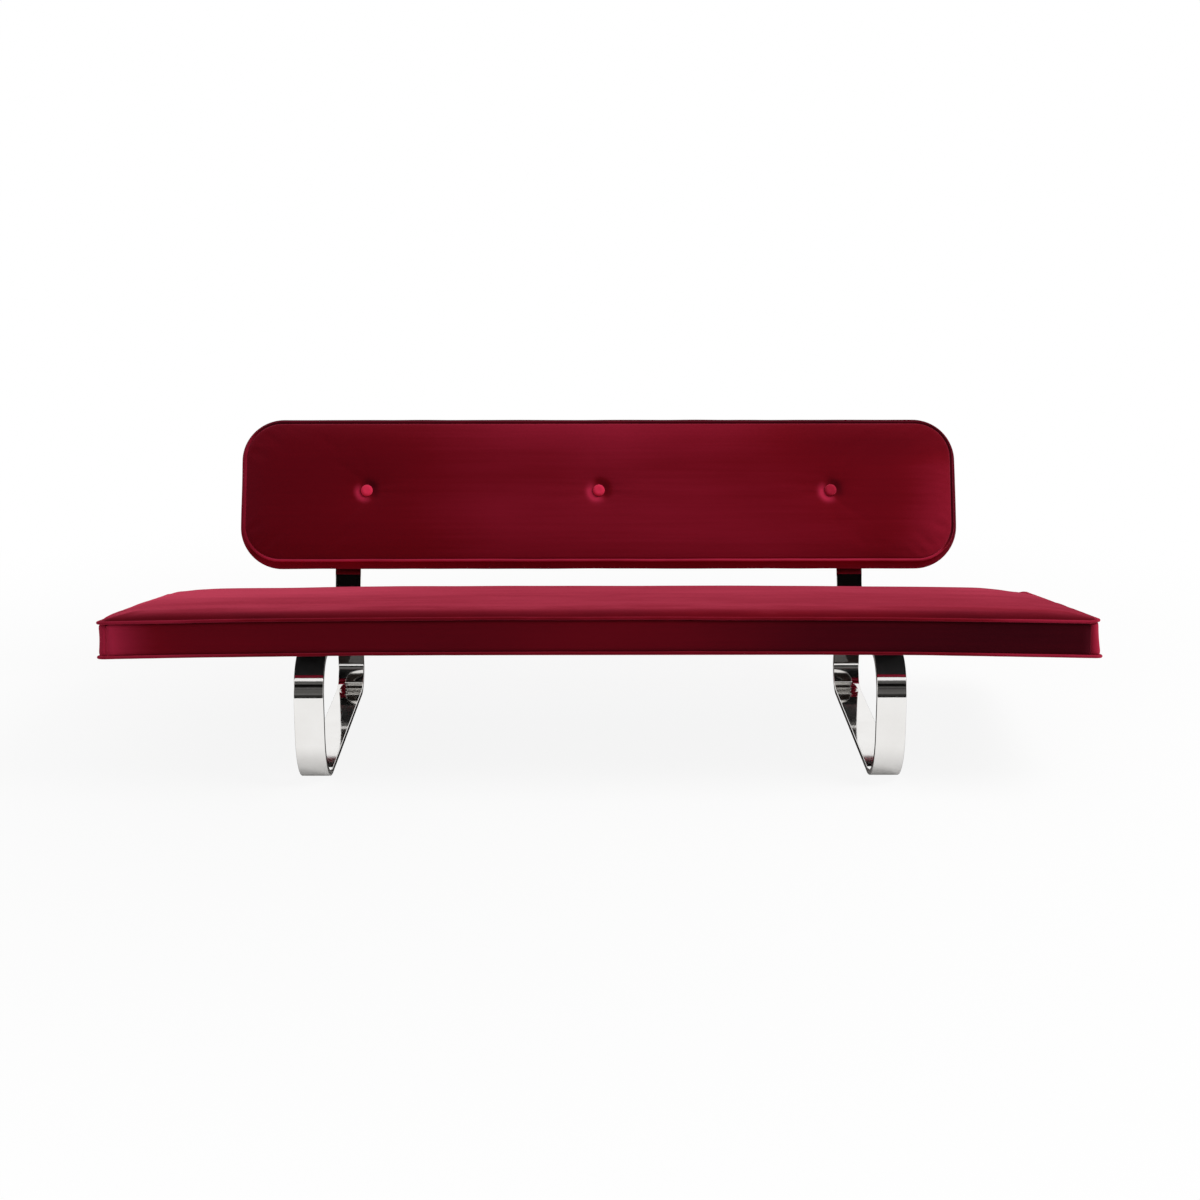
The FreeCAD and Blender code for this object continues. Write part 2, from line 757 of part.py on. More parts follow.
# Seat cushion: foam over the frame, a crowned top panel, boxing in four panels and two pipings
def seat_cushion():
    draw = "(-size.seat_draw_in)"
    base = "size.dust_cover_thickness + size.fit_gap"
    foam = cushion("seat_foam", SEAT, base, "size.seat_boxing_height", "size.seat_crown", draw)
    doc.recompute()
    recess = new_sketch(foam, "seat_foam_recess", "XY_Plane")
    side = "place.frame_half + size.fit_gap"
    front = "size.frame_inset - size.fit_gap"
    rear = "place.frame_rear + size.fit_gap"
    rectangle(recess, "-(%s)" % side, front, side, rear)
    pocket(foam, recess, "place.webbing_top + size.fit_gap", flip=True)
    keep(on_seat(foam), "seat_foam")
    cover = new_body("seat_cover_top")
    seam = "size.seat_boxing_height"
    loft(cover, "seat_cover_face", SEAT, crown_sections(SEAT, seam, "size.seat_crown", "0"))
    lining = crown_sections(SEAT, seam, "size.seat_crown", "size.cover_thickness")
    loft(cover, "seat_cover_lining", SEAT, lining, subtract=True)
    keep(on_seat(cover), "seat_cover_top")
    band = on_seat(boxing_band("seat_boxing", SEAT, seam, draw))
    seat_boxing_panels(band)
    for edge, level in (("top", seam), ("bottom", "place.seam_level")):
        name = "seat_piping_" + edge
        keep(on_seat(piping(name, SEAT, level)), name)
    dust = new_body("seat_dust_cover")
    sheet_outline = new_sketch(dust, "seat_dust_cover_outline", "XY_Plane")
    panel_outline(sheet_outline, SEAT, "place.seam_inset")
    pad(dust, sheet_outline, "size.dust_cover_thickness")
    doc.recompute()
    holes = new_sketch(dust, "seat_dust_cover_holes", "XY_Plane")
    for x, along in leg_bolt_places():
        round_hole(holes, x, along, "place.flange_seat_radius")
    pocket(dust, holes, "size.dust_cover_thickness", flip=True)
    keep(on_seat(dust), "seat_dust_cover")


def seat_boxing_panels(band):
    """Part the boxing at its upright seams: long front and rear panels, and ends round the corners."""
    seam = "(size.seat_width / 2 - size.seam_offset)"
    end_width = "(size.seam_offset + size.piping_diameter)"
    end_depth = "size.seat_depth + 2 * size.piping_diameter"
    half_depth = "size.seat_depth / 2"
    inside = "(%s - size.fit_gap / 2)" % seam
    outside = "(%s + size.fit_gap / 2)" % seam
    pieces = (
        ("front", "-%s" % inside, "-size.piping_diameter", "2 * %s" % inside, half_depth),
        ("rear", "-%s" % inside, "%s + size.piping_diameter" % half_depth, "2 * %s" % inside, half_depth),
        ("left", "-%s - %s" % (outside, end_width), "-size.piping_diameter", end_width, end_depth),
        ("right", outside, "-size.piping_diameter", end_width, end_depth),
    )
    for side, x, along, width, depth in pieces:
        box = doc.addObject("Part::Box", "seat_boxing_space_" + side)
        box.setExpression("Length", width)
        box.setExpression("Width", depth)
        box.setExpression("Height", "size.seat_boxing_height")
        on_seat(box, x, along)
        piece = doc.addObject("Part::Common", "seat_boxing_piece_" + side)
        piece.Base = band
        piece.Tool = box
        keep(piece, "seat_boxing_" + side)


# Tufts: funnels pressed into the back, with a twine hole down to the board
def tuft_tools(name, drop):
    tools = []
    floor = "place.tuft_floor - %s" % drop
    rim = "place.crown_level - %s" % drop
    top = "place.crown_level + size.tuft_depth"
    flat = "size.button_diameter / 2 + size.fit_gap"
    hole = "size.twine_diameter / 2 + size.fit_gap"
    run = "(size.tuft_radius - size.button_diameter / 2 - size.fit_gap)"
    roll = "(%s ^ 2 + size.tuft_depth ^ 2) / (2 * size.tuft_depth)" % run
    for side, x in TUFTS:
        tool = turned("%s_%s" % (name, side), (
            ("0", "0"),
            (hole, "0"),
            (hole, floor),
            (flat, floor),
            ("size.tuft_radius", rim),
            ("size.tuft_radius", top),
            ("0", top),
        ), {3: roll})
        tools.append(on_back(tool, x, "0", "place.back_middle", True))
    bundle = doc.addObject("Part::Compound", name)
    bundle.Links = tools
    return bundle


# Back cushion: board, foam, crowned front panel with tufts, bulged boxing, rear panel and pipings
def back_cushion():
    seam = "size.back_thickness"
    crown = "size.back_crown"
    swell = "size.back_bulge"
    foam = cushion("back_foam_block", BACK, "place.board_rear + size.fit_gap", seam, crown, swell)
    doc.recompute()
    recess = new_sketch(foam, "back_foam_recess", "XZ_Plane")
    panel_outline(recess, BACK, "size.board_inset - size.fit_gap")
    pocket(foam, recess, "place.board_front + size.fit_gap", flip=True)
    tufts = tuft_tools("foam_tufts", "place.lining_inset")
    keep(cut("back_foam_tufted", on_back(foam), tufts), "back_foam")
    layers = []
    for name, drop in (("face", "0"), ("lining", "size.cover_thickness")):
        layer = new_body("back_cover_" + name)
        loft(layer, "back_cover_%s_crown" % name, BACK, crown_sections(BACK, seam, crown, drop))
        layers.append(cut("back_cover_%s_tufted" % name, on_back(layer), tuft_tools(name + "_tufts", drop)))
    keep(cut("back_cover_skin", *layers), "back_cover_front")
    keep(on_back(boxing_band("back_boxing", BACK, seam, swell)), "back_boxing")
    for edge, level in (("front", seam), ("rear", "place.seam_level")):
        name = "back_piping_" + edge
        keep(on_back(piping(name, BACK, level)), name)
    back_board()
    rear = new_body("back_cover_rear")
    sheet_outline = new_sketch(rear, "back_cover_rear_outline", "XZ_Plane")
    panel_outline(sheet_outline, BACK, "place.seam_inset")
    pad(rear, sheet_outline, "size.cover_thickness")
    doc.recompute()
    holes = new_sketch(rear, "back_cover_rear_holes", "XZ_Plane")
    for x, up in back_bolt_places():
        round_hole(holes, x, up, "place.hole_radius")
    pocket(rear, holes, "size.cover_thickness", flip=True)
    keep(on_back(rear), "back_cover_rear")


def back_board():
    """Plywood board with seats for the tee nuts in front and for the twine anchors behind."""
    board = new_body("back_board")
    sketch = new_sketch(board, "back_board_outline", "XZ_Plane", "place.board_rear")
    panel_outline(sketch, BACK, "size.board_inset")
    pad(board, sketch, "size.board_thickness")
    doc.recompute()
    bolt_spots = list(back_bolt_places())
    twine_spots = [(x, "place.back_middle") for _, x in TUFTS]
    anchor = "size.anchor_diameter / 2 + size.fit_gap"
    cuts = (
        ("nut_barrels", bolt_spots, "place.nut_seat_radius", "size.board_thickness"),
        ("twine_holes", twine_spots, "size.twine_diameter / 2 + size.fit_gap", "size.board_thickness"),
        ("anchor_seats", twine_spots, anchor, "size.anchor_thickness + size.fit_gap"),
    )
    for name, spots, radius, depth in cuts:
        holes = new_sketch(board, "back_board_" + name, "XZ_Plane", "place.board_rear")
        for x, up in spots:
            round_hole(holes, x, up, radius)
        pocket(board, holes, depth, flip=True)
    holes = new_sketch(board, "back_board_flange_seats", "XZ_Plane", "place.board_front")
    for x, up in bolt_spots:
        round_hole(holes, x, up, "place.flange_seat_radius")
    pocket(board, holes, "size.washer_thickness")
    keep(on_back(board), "back_board")


def back_buttons():
    """Covered buttons in the tufts, held by twines to anchor washers behind the board."""
    twines = []
    anchors = []
    half = "size.button_diameter / 2"
    rim = "%g * size.button_height" % BUTTON_RIM_SHARE
    rise = "(size.button_height - %s)" % rim
    dome = "((%s) ^ 2 + %s ^ 2) / (2 * %s)" % (half, rise, rise)
    for side, x in TUFTS:
        button = turned("back_button_" + side, (
            ("0", "0"),
            (half, "0"),
            (half, rim),
            ("0", "size.button_height"),
        ), {2: "-%s" % dome})
        on_back(button, x, "place.tuft_floor + size.fit_gap", "place.back_middle", True)
        keep(button, "back_button_" + side)
        twine = doc.addObject("Part::Cylinder", "twine_" + side)
        twine.setExpression("Radius", "size.twine_diameter / 2")
        start = "place.board_rear + size.anchor_thickness + size.fit_gap"
        twine.setExpression("Height", "place.tuft_floor + size.fit_gap - (%s)" % start)
        twines.append(on_back(twine, x, start, "place.back_middle", True))
        anchor = doc.addObject("Part::Cylinder", "anchor_" + side)
        anchor.setExpression("Radius", "size.anchor_diameter / 2")
        anchor.setExpression("Height", "size.anchor_thickness")
        anchors.append(on_back(anchor, x, "place.board_rear + size.fit_gap", "place.back_middle", True))
    group("back_twines", twines)
    group("back_twine_anchors", anchors)


for side, sign in SIDES:
    leg_loop(side, sign)
    back_upright(side, sign)
floor_glides()
leg_fasteners()
seat_frame()
seat_webbing()
seat_cushion()
back_cushion()
back_buttons()
back_fasteners()
doc.recompute()

failed = [item.Name for item in doc.Objects if {"Invalid", "Error"} & set(item.State)]
for item in nodes:
    if item.Shape.isNull() or not item.Shape.isValid():
        failed.append(item.Label)
if failed:
    raise RuntimeError("not built: " + ", ".join(failed))
for item in nodes:
    item.Shape.exportStep("parts/%s.step" % item.Label)
    print("%s: %d solids, %.0f mm3" % (item.Label, len(item.Shape.Solids), item.Shape.Volume))
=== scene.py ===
import json
import math

import bmesh
import bpy
import numpy as np
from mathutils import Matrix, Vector, noise

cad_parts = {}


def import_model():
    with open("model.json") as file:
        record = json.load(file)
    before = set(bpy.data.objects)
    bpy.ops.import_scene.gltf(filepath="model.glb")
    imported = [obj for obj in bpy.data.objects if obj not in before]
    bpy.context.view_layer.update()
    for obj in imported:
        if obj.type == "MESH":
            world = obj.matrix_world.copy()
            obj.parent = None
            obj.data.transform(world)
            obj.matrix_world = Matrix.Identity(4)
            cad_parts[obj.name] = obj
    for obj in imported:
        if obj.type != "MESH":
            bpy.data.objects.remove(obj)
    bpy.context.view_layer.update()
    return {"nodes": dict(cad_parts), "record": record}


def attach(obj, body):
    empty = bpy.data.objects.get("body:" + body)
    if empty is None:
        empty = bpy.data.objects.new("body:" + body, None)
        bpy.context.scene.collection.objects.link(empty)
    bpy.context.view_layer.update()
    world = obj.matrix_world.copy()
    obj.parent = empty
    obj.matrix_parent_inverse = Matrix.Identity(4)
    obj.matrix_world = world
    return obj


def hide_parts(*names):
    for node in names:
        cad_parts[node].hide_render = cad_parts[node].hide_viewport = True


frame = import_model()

scene = bpy.context.scene
nodes = frame["nodes"]

# Sizes of the sofa in metres, as in the part's own frame
SEAT_SLOPE = math.radians(9.5)
SEAT_ORIGIN = (0.0, -0.433971, 0.294)
SEAT_HALF = 1.0
SEAT_DEPTH = 0.700
SEAT_SEAM = 0.072
SEAT_CROWN = 0.020
SEAT_RADIUS = 0.016
SEAT_DRAW_IN = 0.002
BACK_RECLINE = math.radians(22)
BACK_ORIGIN = (0.0, 0.266292, 0.176817)
BACK_HALF = 0.818
BACK_LOW = 0.137
BACK_HIGH = 0.458
BACK_SEAM = 0.080
BACK_CROWN = 0.018
BACK_RADIUS = 0.082
BACK_BULGE = 0.014
BUTTON_SPACING = 0.537
BUTTON_RADIUS = 0.014
TUFT_DEPTH = 0.011
TUFT_RADIUS = 0.052
TUFT_FLOOR = BACK_SEAM + BACK_CROWN - TUFT_DEPTH
PIPING_RADIUS = 0.004
PIPING_STAND = 0.001
LEG_X = 0.588
BAR_HALF = 0.030

# Panels: half width, low side, high side and corner radius
SEAT_PANEL = (SEAT_HALF, 0.0, SEAT_DEPTH, SEAT_RADIUS)
BACK_PANEL = (BACK_HALF, BACK_LOW, BACK_HIGH, BACK_RADIUS)

# The seat's soft shell: high between the legs, low at its free ends, and drawn in and up at the top right
SEAT_RISE = 0.0025
SEAT_SINK = 0.0085
SEAT_BOW = 2.6
SEAT_LEAN = 0.006
SEAT_LEAN_RISE = 0.003
SEAT_LEAN_REACH = 0.024

# The seat's crown: its roll over the edge, and how much lower it is at the rear, its corners and the ends
SEAT_ROLL = 0.028
ROLL_CORNER = 1.9
REAR_FLAT = 0.0048
CORNER_FLAT = 0.0030
RIGHT_FLAT = 0.0050
LEFT_FLAT = 0.0020

# The back's crown: how far in it goes, how steeply it rises, and the share of its swell left out at first
DOME_REACH = 0.62
DOME_STEEP = 0.8
SWELL_ROOM = 0.6

# The tufts: their dip before the swelling, the pinch round each button, the folds, and the rim of the dimple
# where its painted highlight and shade lie
TUFT_START = 0.45
PINCH_START = 0.0125
PINCH_REACH = 0.010
FOLDS = 5
FOLD_DEPTH = 0.0006
FOLD_START = 0.024
FOLD_WIDTH = 0.010
FOLD_TURN = 0.6
RIM_START = 0.020
RIM_WIDTH = 0.009

# Swelling of the pads
VOXEL = 0.005
PRESSURE = 4.0
CLOTH_STEPS = 20
RELAX_ROUNDS = 3
SEAT_SWELL = 0.003
BACK_SWELL = 0.007
PAD_CORNER = 0.004
PAD_BASE = ((0.010, -0.016, 0.0), (0.003, -0.006, 0.0))

# Seams, piping and cloth
SEAM_LEVEL = 0.0043
SEAM_INSET = 0.0033
SEAM_TUCK = 0.0008
SEAM_OFFSET = 0.022
SEAM_LEFT = SEAT_RADIUS - SEAT_HALF
SEAM_RIGHT = SEAT_HALF - SEAM_OFFSET
SEAM_PULL = 0.0045
SEAM_PULL_REACH = 0.006
CORD_RADIUS = 0.0032
CORD_LIFT = PIPING_RADIUS - CORD_RADIUS
CORD_SIDES = 14
BAND_LOW = 2 * SEAM_LEVEL
BAND_ROWS = 15
BAND_OVERLAP = 0.003
BAND_TUCK = 0.004
BAND_CLOTH = 0.0016
REAR_CLOTH = 0.0010
LINING_CLOTH = 0.0006

# The rear panel: insets and levels of its rim, then its even rings
REAR_RIM = ((-0.0006, 0.0020), (0.0008, 0.0011), (0.0030, 0.0006), (0.0060, 0.0003))
REAR_RINGS = 12
REAR_REACH = 0.144
REAR_LEVEL = 0.0002
REAR_SLACK = 0.0022

# Buttons: radii and levels from the dome down to the rim
BUTTON_PROFILE = ((0.0035, 0.0076), (0.0060, 0.0079), (0.0085, 0.0078), (0.0110, 0.0069), (0.0128, 0.0053),
                  (0.0138, 0.0032), (0.0137, 0.0012), (0.0128, 0.0))
BUTTON_SIDES = 48
BUTTON_LIFT = 0.0003
GATHER_DEPTH = 0.00022
GATHERS = 12
GATHER_TURN = 7

# The hem, as insets and levels of its section, and the lining that it holds
HEM_WIDTH = 0.018
HEM_PROFILE = ((SEAM_INSET, 0.0030), (SEAM_INSET, 0.0006), (0.008, 0.0002), (HEM_WIDTH - 0.002, 0.0002),
               (HEM_WIDTH, 0.0007), (HEM_WIDTH - 0.002, 0.0012), (0.008, 0.0030))
LINING_INSET = 0.012
LINING_RINGS = 15
LINING_REACH = 0.334
LINING_EASE = 1.4
LINING_LEVEL = 0.0004
LINING_LIFT = 0.0010
LINING_LIFT_REACH = 0.008
LINING_SLACK = 0.0025
UNDERSIDE_RUNS = (200, 70)
UNDERSIDE_TURNS = 6

# Shifts of the velvet's tone: painted light, shade and sheen, over the pile's own random lay (NAP_WAVE)
NAP_WAVE = 0.05
SEAT_FRONT_DARK = 0.16
SEAT_FRONT_ENDS_DARK = 0.14
SEAT_REAR_PALE = 0.22
SEAT_REAR_LEFT_PALE = 0.44
BACK_MIDDLE_PALE = 0.12
BACK_LOW_RIGHT_PALE = 0.16
BACK_LEFT_DARK = 0.10
BACK_HIGH_RIGHT_DARK = 0.09
DIMPLE_LIGHT = math.radians(215)
DIMPLE_LIT = 0.62
DIMPLE_SHADED = 0.30
BACK_CORD_PALE = 0.22
BACK_CORD_DARK = 0.60
REAR_CORD_DARK = 0.55
SEAT_CORD_DULL = 0.24
SEAT_CORD_ENDS = 0.26
FRONT_BAND_PALE = 0.74
FRONT_BAND_PALE_REACH = 0.060
FRONT_BAND_DARK = 0.18
FRONT_BAND_RIGHT_DARK = 0.30
LEFT_BAND_PALE = 0.30
RIGHT_BAND_PALE = 0.20
BACK_BAND_TOP_DARK = 0.46
BACK_BAND_BOTTOM_PALE = 0.14
BACK_BAND_REAR_DARK = 0.50
BACK_BAND_LEFT_PALE = 0.16
BACK_BAND_RIGHT_DARK = 0.30
HEM_PALE = 0.2

# A texture's stretch that is the same along every axis
EVEN = (1, 1, 1)

# Colours; in the velvet's ramp CRIMSON_BLACK and CRIMSON_DARK are reached mostly where painted shade darkens
# it, CRIMSON_PALE and CRIMSON_BRIGHT mostly where painted sheen and highlights lighten it
WHITE = (1, 1, 1, 1)
CRIMSON_BLACK = (0.010, 0.0004, 0.0010)
CRIMSON_DARK = (0.040, 0.0007, 0.0024)
CRIMSON = (0.155, 0.0026, 0.0072)
CRIMSON_LIGHT = (0.46, 0.022, 0.062)
CRIMSON_PALE = (0.66, 0.080, 0.140)
CRIMSON_BRIGHT = (0.90, 0.042, 0.115)
CRIMSON_SHEEN = (1.0, 0.10, 0.19, 1)
STEEL_DARK = (0.80, 0.785, 0.765)
STEEL_LIGHT = (0.86, 0.85, 0.835)
FLOOR_PALE = (0.92, 0.92, 0.915)
FLOOR_SHADED = (0.16, 0.13, 0.115)
WALL_STOPS = ((0.0, (0.004, 0.003, 0.003)), (0.3, (0.10, 0.098, 0.095)), (0.7, (0.50, 0.49, 0.48)))

# Studio and camera
FLOOR_HALF = 30.0
WALL_HALF = 7.0
WALL_Y = -6.5
WALL_LOW = 0.10
WALL_HIGH = 6.4
AMBIENT = 0.40
CAMERA_LENS = 60.89
CAMERA_SENSOR = 36.0
CAMERA_REACH = 200.0
CAMERA_PLACE = (-0.0204, -4.3236, 1.3983)
CAMERA_TILT = math.radians(90 - 14.266)
CAMERA_TURN = -0.005

# Axes of the seat (x, along its slope, up from its base) and of the back (x, up its recline, to the front)
SEAT_AXES = np.array((
    (1, 0, 0),
    (0, math.cos(SEAT_SLOPE), -math.sin(SEAT_SLOPE)),
    (0, math.sin(SEAT_SLOPE), math.cos(SEAT_SLOPE))))
BACK_AXES = np.array((
    (1, 0, 0),
    (0, math.sin(BACK_RECLINE), math.cos(BACK_RECLINE)),
    (0, -math.cos(BACK_RECLINE), math.sin(BACK_RECLINE))))


def smoothstep(start, stop, value):
    """Smooth change from 0 to 1 as a value goes from start to stop, which may be the lower."""
    share = np.clip((np.asarray(value, float) - start) / (stop - start), 0, 1)
    return share * share * (3 - 2 * share)


def ripple(points, height, size, seed, along=1.0):
    """Smooth noise of a height and a wave size at each point, drawn out in X where along is below 1."""
    shift = Vector((seed * 3.7, seed * 1.3, seed * 2.9))
    return height * np.array([noise.noise(Vector(p) / size + shift) for p in points * (along, 1, 1)])


def edge_distance(points, panel):
    """How far in points lie from the nearest side of a panel."""
    half, low, high, _ = panel
    across = np.minimum(points[:, 1] - low, high - points[:, 1])
    return np.minimum(across, half - np.abs(points[:, 0]))


def off_bars(points, start, stop):
    """Smooth change from 0 on the steel bars to 1 beside them, over a distance from their edges."""
    return smoothstep(BAR_HALF + start, BAR_HALF + stop, np.abs(np.abs(points[:, 0]) - LEG_X))


def seat_bow(points):
    """The seat's soft shell is a little high between the legs and sinks at its free ends."""
    return SEAT_RISE - SEAT_SINK * np.abs(points[:, 0] / SEAT_HALF) ** SEAT_BOW


def on_seat(points):
    """Place points on the seat, whose top edge is drawn in and up at its right end."""
    points = np.array(points, float)
    height = np.clip(points[:, 2] / SEAT_SEAM, 0, 1)
    lean = height * smoothstep(SEAT_HALF - SEAT_LEAN_REACH, SEAT_HALF, points[:, 0])
    points[:, 2] += seat_bow(points) + SEAT_LEAN_RISE * lean
    points[:, 0] -= SEAT_LEAN * lean
    return points @ SEAT_AXES + SEAT_ORIGIN


def under_seat(points):
    """Place points of the seat's underside, which stays down on the rails where the shell above is high."""
    points = np.array(points, float)
    inside = smoothstep(0.004, 0.013, edge_distance(points, SEAT_PANEL))
    points[:, 2] -= np.maximum(seat_bow(points), 0) * inside
    return on_seat(points)


def on_back(points):
    return points @ BACK_AXES + BACK_ORIGIN


def new_mesh(name, points, faces):
    mesh = bpy.data.meshes.new(name)
    mesh.from_pydata([tuple(p) for p in points], [], faces)
    mesh.validate()
    mesh.update()
    item = bpy.data.objects.new(name, mesh)
    scene.collection.objects.link(item)
    return item


def coordinates(item):
    points = np.zeros(len(item.data.vertices) * 3, np.float32)
    item.data.vertices.foreach_get("co", points)
    return points.reshape(-1, 3).astype(float)


def set_coordinates(item, points):
    item.data.vertices.foreach_set("co", np.asarray(points, np.float32).ravel())
    item.data.update()


def set_nap_and_painted_light(item, values):
    """Store each point's shift of the velvet's tone: the pile's own random lay, and painted light, shade and
    sheen.
    """
    layer = item.data.attributes.new("nap_and_painted_light", "FLOAT", "POINT")
    layer.data.foreach_set("value", np.asarray(values, np.float32))


def outline(panel, runs=(120, 40), turns=10):
    """Points and outward normals of a panel's edge, anticlockwise from the middle of its high side."""
    half, low, high, radius = panel
    corners = (
        (-half + radius, high - radius, 90),
        (-half + radius, low + radius, 180),
        (half - radius, low + radius, 270),
        (half - radius, high - radius, 0),
    )
    points = []
    normals = []

    def direction(angle):
        return math.cos(math.radians(angle)), math.sin(math.radians(angle))

    def on_arc(x, y, angle):
        across, up = direction(angle)
        return x + radius * across, y + radius * up

    def run(start, stop, normal, count):
        for step in range(count):
            share = step / count
            points.append([here + (there - here) * share for here, there in zip(start, stop)])
            normals.append(normal)

    middle = (0.0, high)
    reached = middle
    counts = (runs[0] // 2, runs[1], runs[0], runs[1])
    for count, (x, y, start) in zip(counts, corners):
        run(reached, on_arc(x, y, start), direction(start), count)
        for step in range(turns):
            angle = start + 90 * step / turns
            points.append(on_arc(x, y, angle))
            normals.append(direction(angle))
        reached = on_arc(x, y, start + 90)
    run(reached, middle, (0.0, 1.0), runs[0] // 2)
    return np.array(points), np.array(normals)


def at_level(line, level):
    return np.column_stack((line, np.full(len(line), level)))


def inset_ring(panel, inset, level, growth=0.0, least=0.002, **detail):
    """Ring at one level, drawn in from a panel's edge, whose corners may grow rounder on the way."""
    half, low, high, radius = panel
    inner = (half - inset, low + inset, high - inset, max(radius - inset + growth, least))
    line, _ = outline(inner, **detail)
    return at_level(line, level)


def grid_faces(rows, columns, closed, tube=False):
    """Faces of a grid of points, whose rows may be closed, and whose last row joins its first in a tube."""
    faces = []
    for row in range(rows if tube else rows - 1):
        below = (row + 1) % rows
        for column in range(columns if closed else columns - 1):
            after = (column + 1) % columns
            faces.append((row * columns + column, row * columns + after,
                          below * columns + after, below * columns + column))
    return faces


def flipped(faces):
    return [tuple(reversed(face)) for face in faces]


def ring_faces(rings, both_ends):
    """Faces through rings of equally many points, with a flat face at the last ring or at both ends."""
    count = len(rings[0])
    faces = grid_faces(len(rings), count, True)
    if both_ends:
        faces.append(tuple(reversed(range(count))))
    last = (len(rings) - 1) * count
    faces.append(tuple(range(last, last + count)))
    return faces


def thickened(item, thickness):
    """Give a skin the thickness of cloth, inwards from its right side."""
    tool = item.modifiers.new("cloth", "SOLIDIFY")
    tool.thickness = thickness
    tool.offset = -1


def applied(item):
    """Replace an item's mesh by what its modifiers make of it."""
    graph = bpy.context.evaluated_depsgraph_get()
    mesh = bpy.data.meshes.new_from_object(item.evaluated_get(graph), depsgraph=graph)
    old = item.data
    item.modifiers.clear()
    item.data = mesh
    bpy.data.meshes.remove(old)


def relaxed(points, item, free):
    """Even out points towards their neighbours, where they are free."""
    edges = np.zeros(len(item.data.edges) * 2, np.int32)
    item.data.edges.foreach_get("vertices", edges)
    edges = edges.reshape(-1, 2)
    total = np.bincount(edges.ravel(), minlength=len(points))[:, None]
    for _ in range(RELAX_ROUNDS):
        mean = np.zeros_like(points)
        np.add.at(mean, edges[:, 0], points[edges[:, 1]])
        np.add.at(mean, edges[:, 1], points[edges[:, 0]])
        points = points + 0.5 * free[:, None] * (mean / total - points)
    return points


def inflated(item, pinned, cap):
    """Let a cover swell under pressure where it isn't sewn down, by no more than a cap."""
    start = coordinates(item)
    group = item.vertex_groups.new(name="sewn")
    for index in np.nonzero(pinned > 0.01)[0]:
        group.add([int(index)], float(pinned[index]), "REPLACE")
    tool = item.modifiers.new("swell", "CLOTH")
    cloth = tool.settings
    cloth.quality = 4
    cloth.mass = 0.25
    cloth.tension_stiffness = 12
    cloth.compression_stiffness = 12
    cloth.shear_stiffness = 6
    cloth.bending_stiffness = 2
    cloth.air_damping = 3
    cloth.vertex_group_mass = group.name
    cloth.use_pressure = True
    cloth.uniform_pressure_force = PRESSURE
    cloth.effector_weights.gravity = 0
    tool.collision_settings.use_collision = False
    tool.point_cache.frame_start = 1
    tool.point_cache.frame_end = CLOTH_STEPS
    for step in range(1, CLOTH_STEPS + 1):
        scene.frame_set(step)
    applied(item)
    scene.frame_set(1)
    moved = coordinates(item) - start
    reach = np.linalg.norm(moved, axis=1)
    share = cap * np.tanh(reach / cap) / np.maximum(reach, 1e-9)
    points = start + moved * share[:, None]
    set_coordinates(item, relaxed(points, item, 1 - pinned))
    item.vertex_groups.clear()


def refined(item, chosen):
    """Halve the mesh's edges between chosen points."""
    mesh = bmesh.new()
    mesh.from_mesh(item.data)
    edges = [edge for edge in mesh.edges if all(chosen[vertex.index] for vertex in edge.verts)]
    bmesh.ops.subdivide_edges(mesh, edges=edges, cuts=1, use_grid_fill=True)
    mesh.to_mesh(item.data)
    mesh.free()
    item.data.update()


def piece(item, slot, material, *replaced):
    """Hang a finished piece on the sofa, with its finish and the nodes that it stands for."""
    item.data.materials.clear()
    item.data.materials.append(material)
    item.data.polygons.foreach_set("use_smooth", [True] * len(item.data.polygons))
    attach(item, "root")
    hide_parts(*replaced)
    return item


# Materials
def set_inputs(node, **values):
    """Set a node's inputs by their names, written with _ for a space."""
    for name, value in values.items():
        node.inputs[name.replace("_", " ")].default_value = value


def add(tree, kind, **values):
    node = tree.nodes.new(kind)
    set_inputs(node, **values)
    return node


def new_material(name):
    material = bpy.data.materials.new(name)
    material.use_nodes = True
    tree = material.node_tree
    return material, tree, tree.nodes["Principled BSDF"]


def object_place(tree):
    """Place in the object's own metres."""
    return add(tree, "ShaderNodeTexCoord").outputs["Object"]


def object_axes(tree, place):
    """X, Y and Z of a place."""
    node = tree.nodes.new("ShaderNodeSeparateXYZ")
    tree.links.new(place, node.inputs["Vector"])
    return node.outputs


def noise_field(tree, scale, stretch, detail, rough):
    """Noise in the object's own metres, stretched along its axes."""
    mapping = add(tree, "ShaderNodeMapping", Scale=stretch)
    field = add(tree, "ShaderNodeTexNoise", Scale=scale, Detail=detail, Roughness=rough)
    tree.links.new(object_place(tree), mapping.inputs["Vector"])
    tree.links.new(mapping.outputs["Vector"], field.inputs["Vector"])
    return field.outputs["Fac"]


def arithmetic(tree, operation, first, second):
    node = tree.nodes.new("ShaderNodeMath")
    node.operation = operation
    for index, value in enumerate((first, second)):
        if isinstance(value, (int, float)):
            node.inputs[index].default_value = value
        else:
            tree.links.new(value, node.inputs[index])
    return node.outputs[0]


def scaled(tree, value, factor, offset):
    """A value times a factor, plus an offset."""
    result = arithmetic(tree, "MULTIPLY_ADD", value, factor)
    result.node.inputs[2].default_value = offset
    return result


def ramp(tree, value, stops):
    node = tree.nodes.new("ShaderNodeValToRGB")
    elements = node.color_ramp.elements
    while len(elements) < len(stops):
        elements.new(0.5)
    for element, (position, color) in zip(elements, stops):
        element.position = position
        element.color = (*color, 1)
    tree.links.new(value, node.inputs["Fac"])
    return node.outputs["Color"]


def bump(tree, shader, height, strength, distance):
    node = add(tree, "ShaderNodeBump", Strength=strength, Distance=distance)
    tree.links.new(height, node.inputs["Height"])
    tree.links.new(node.outputs["Normal"], shader.inputs["Normal"])


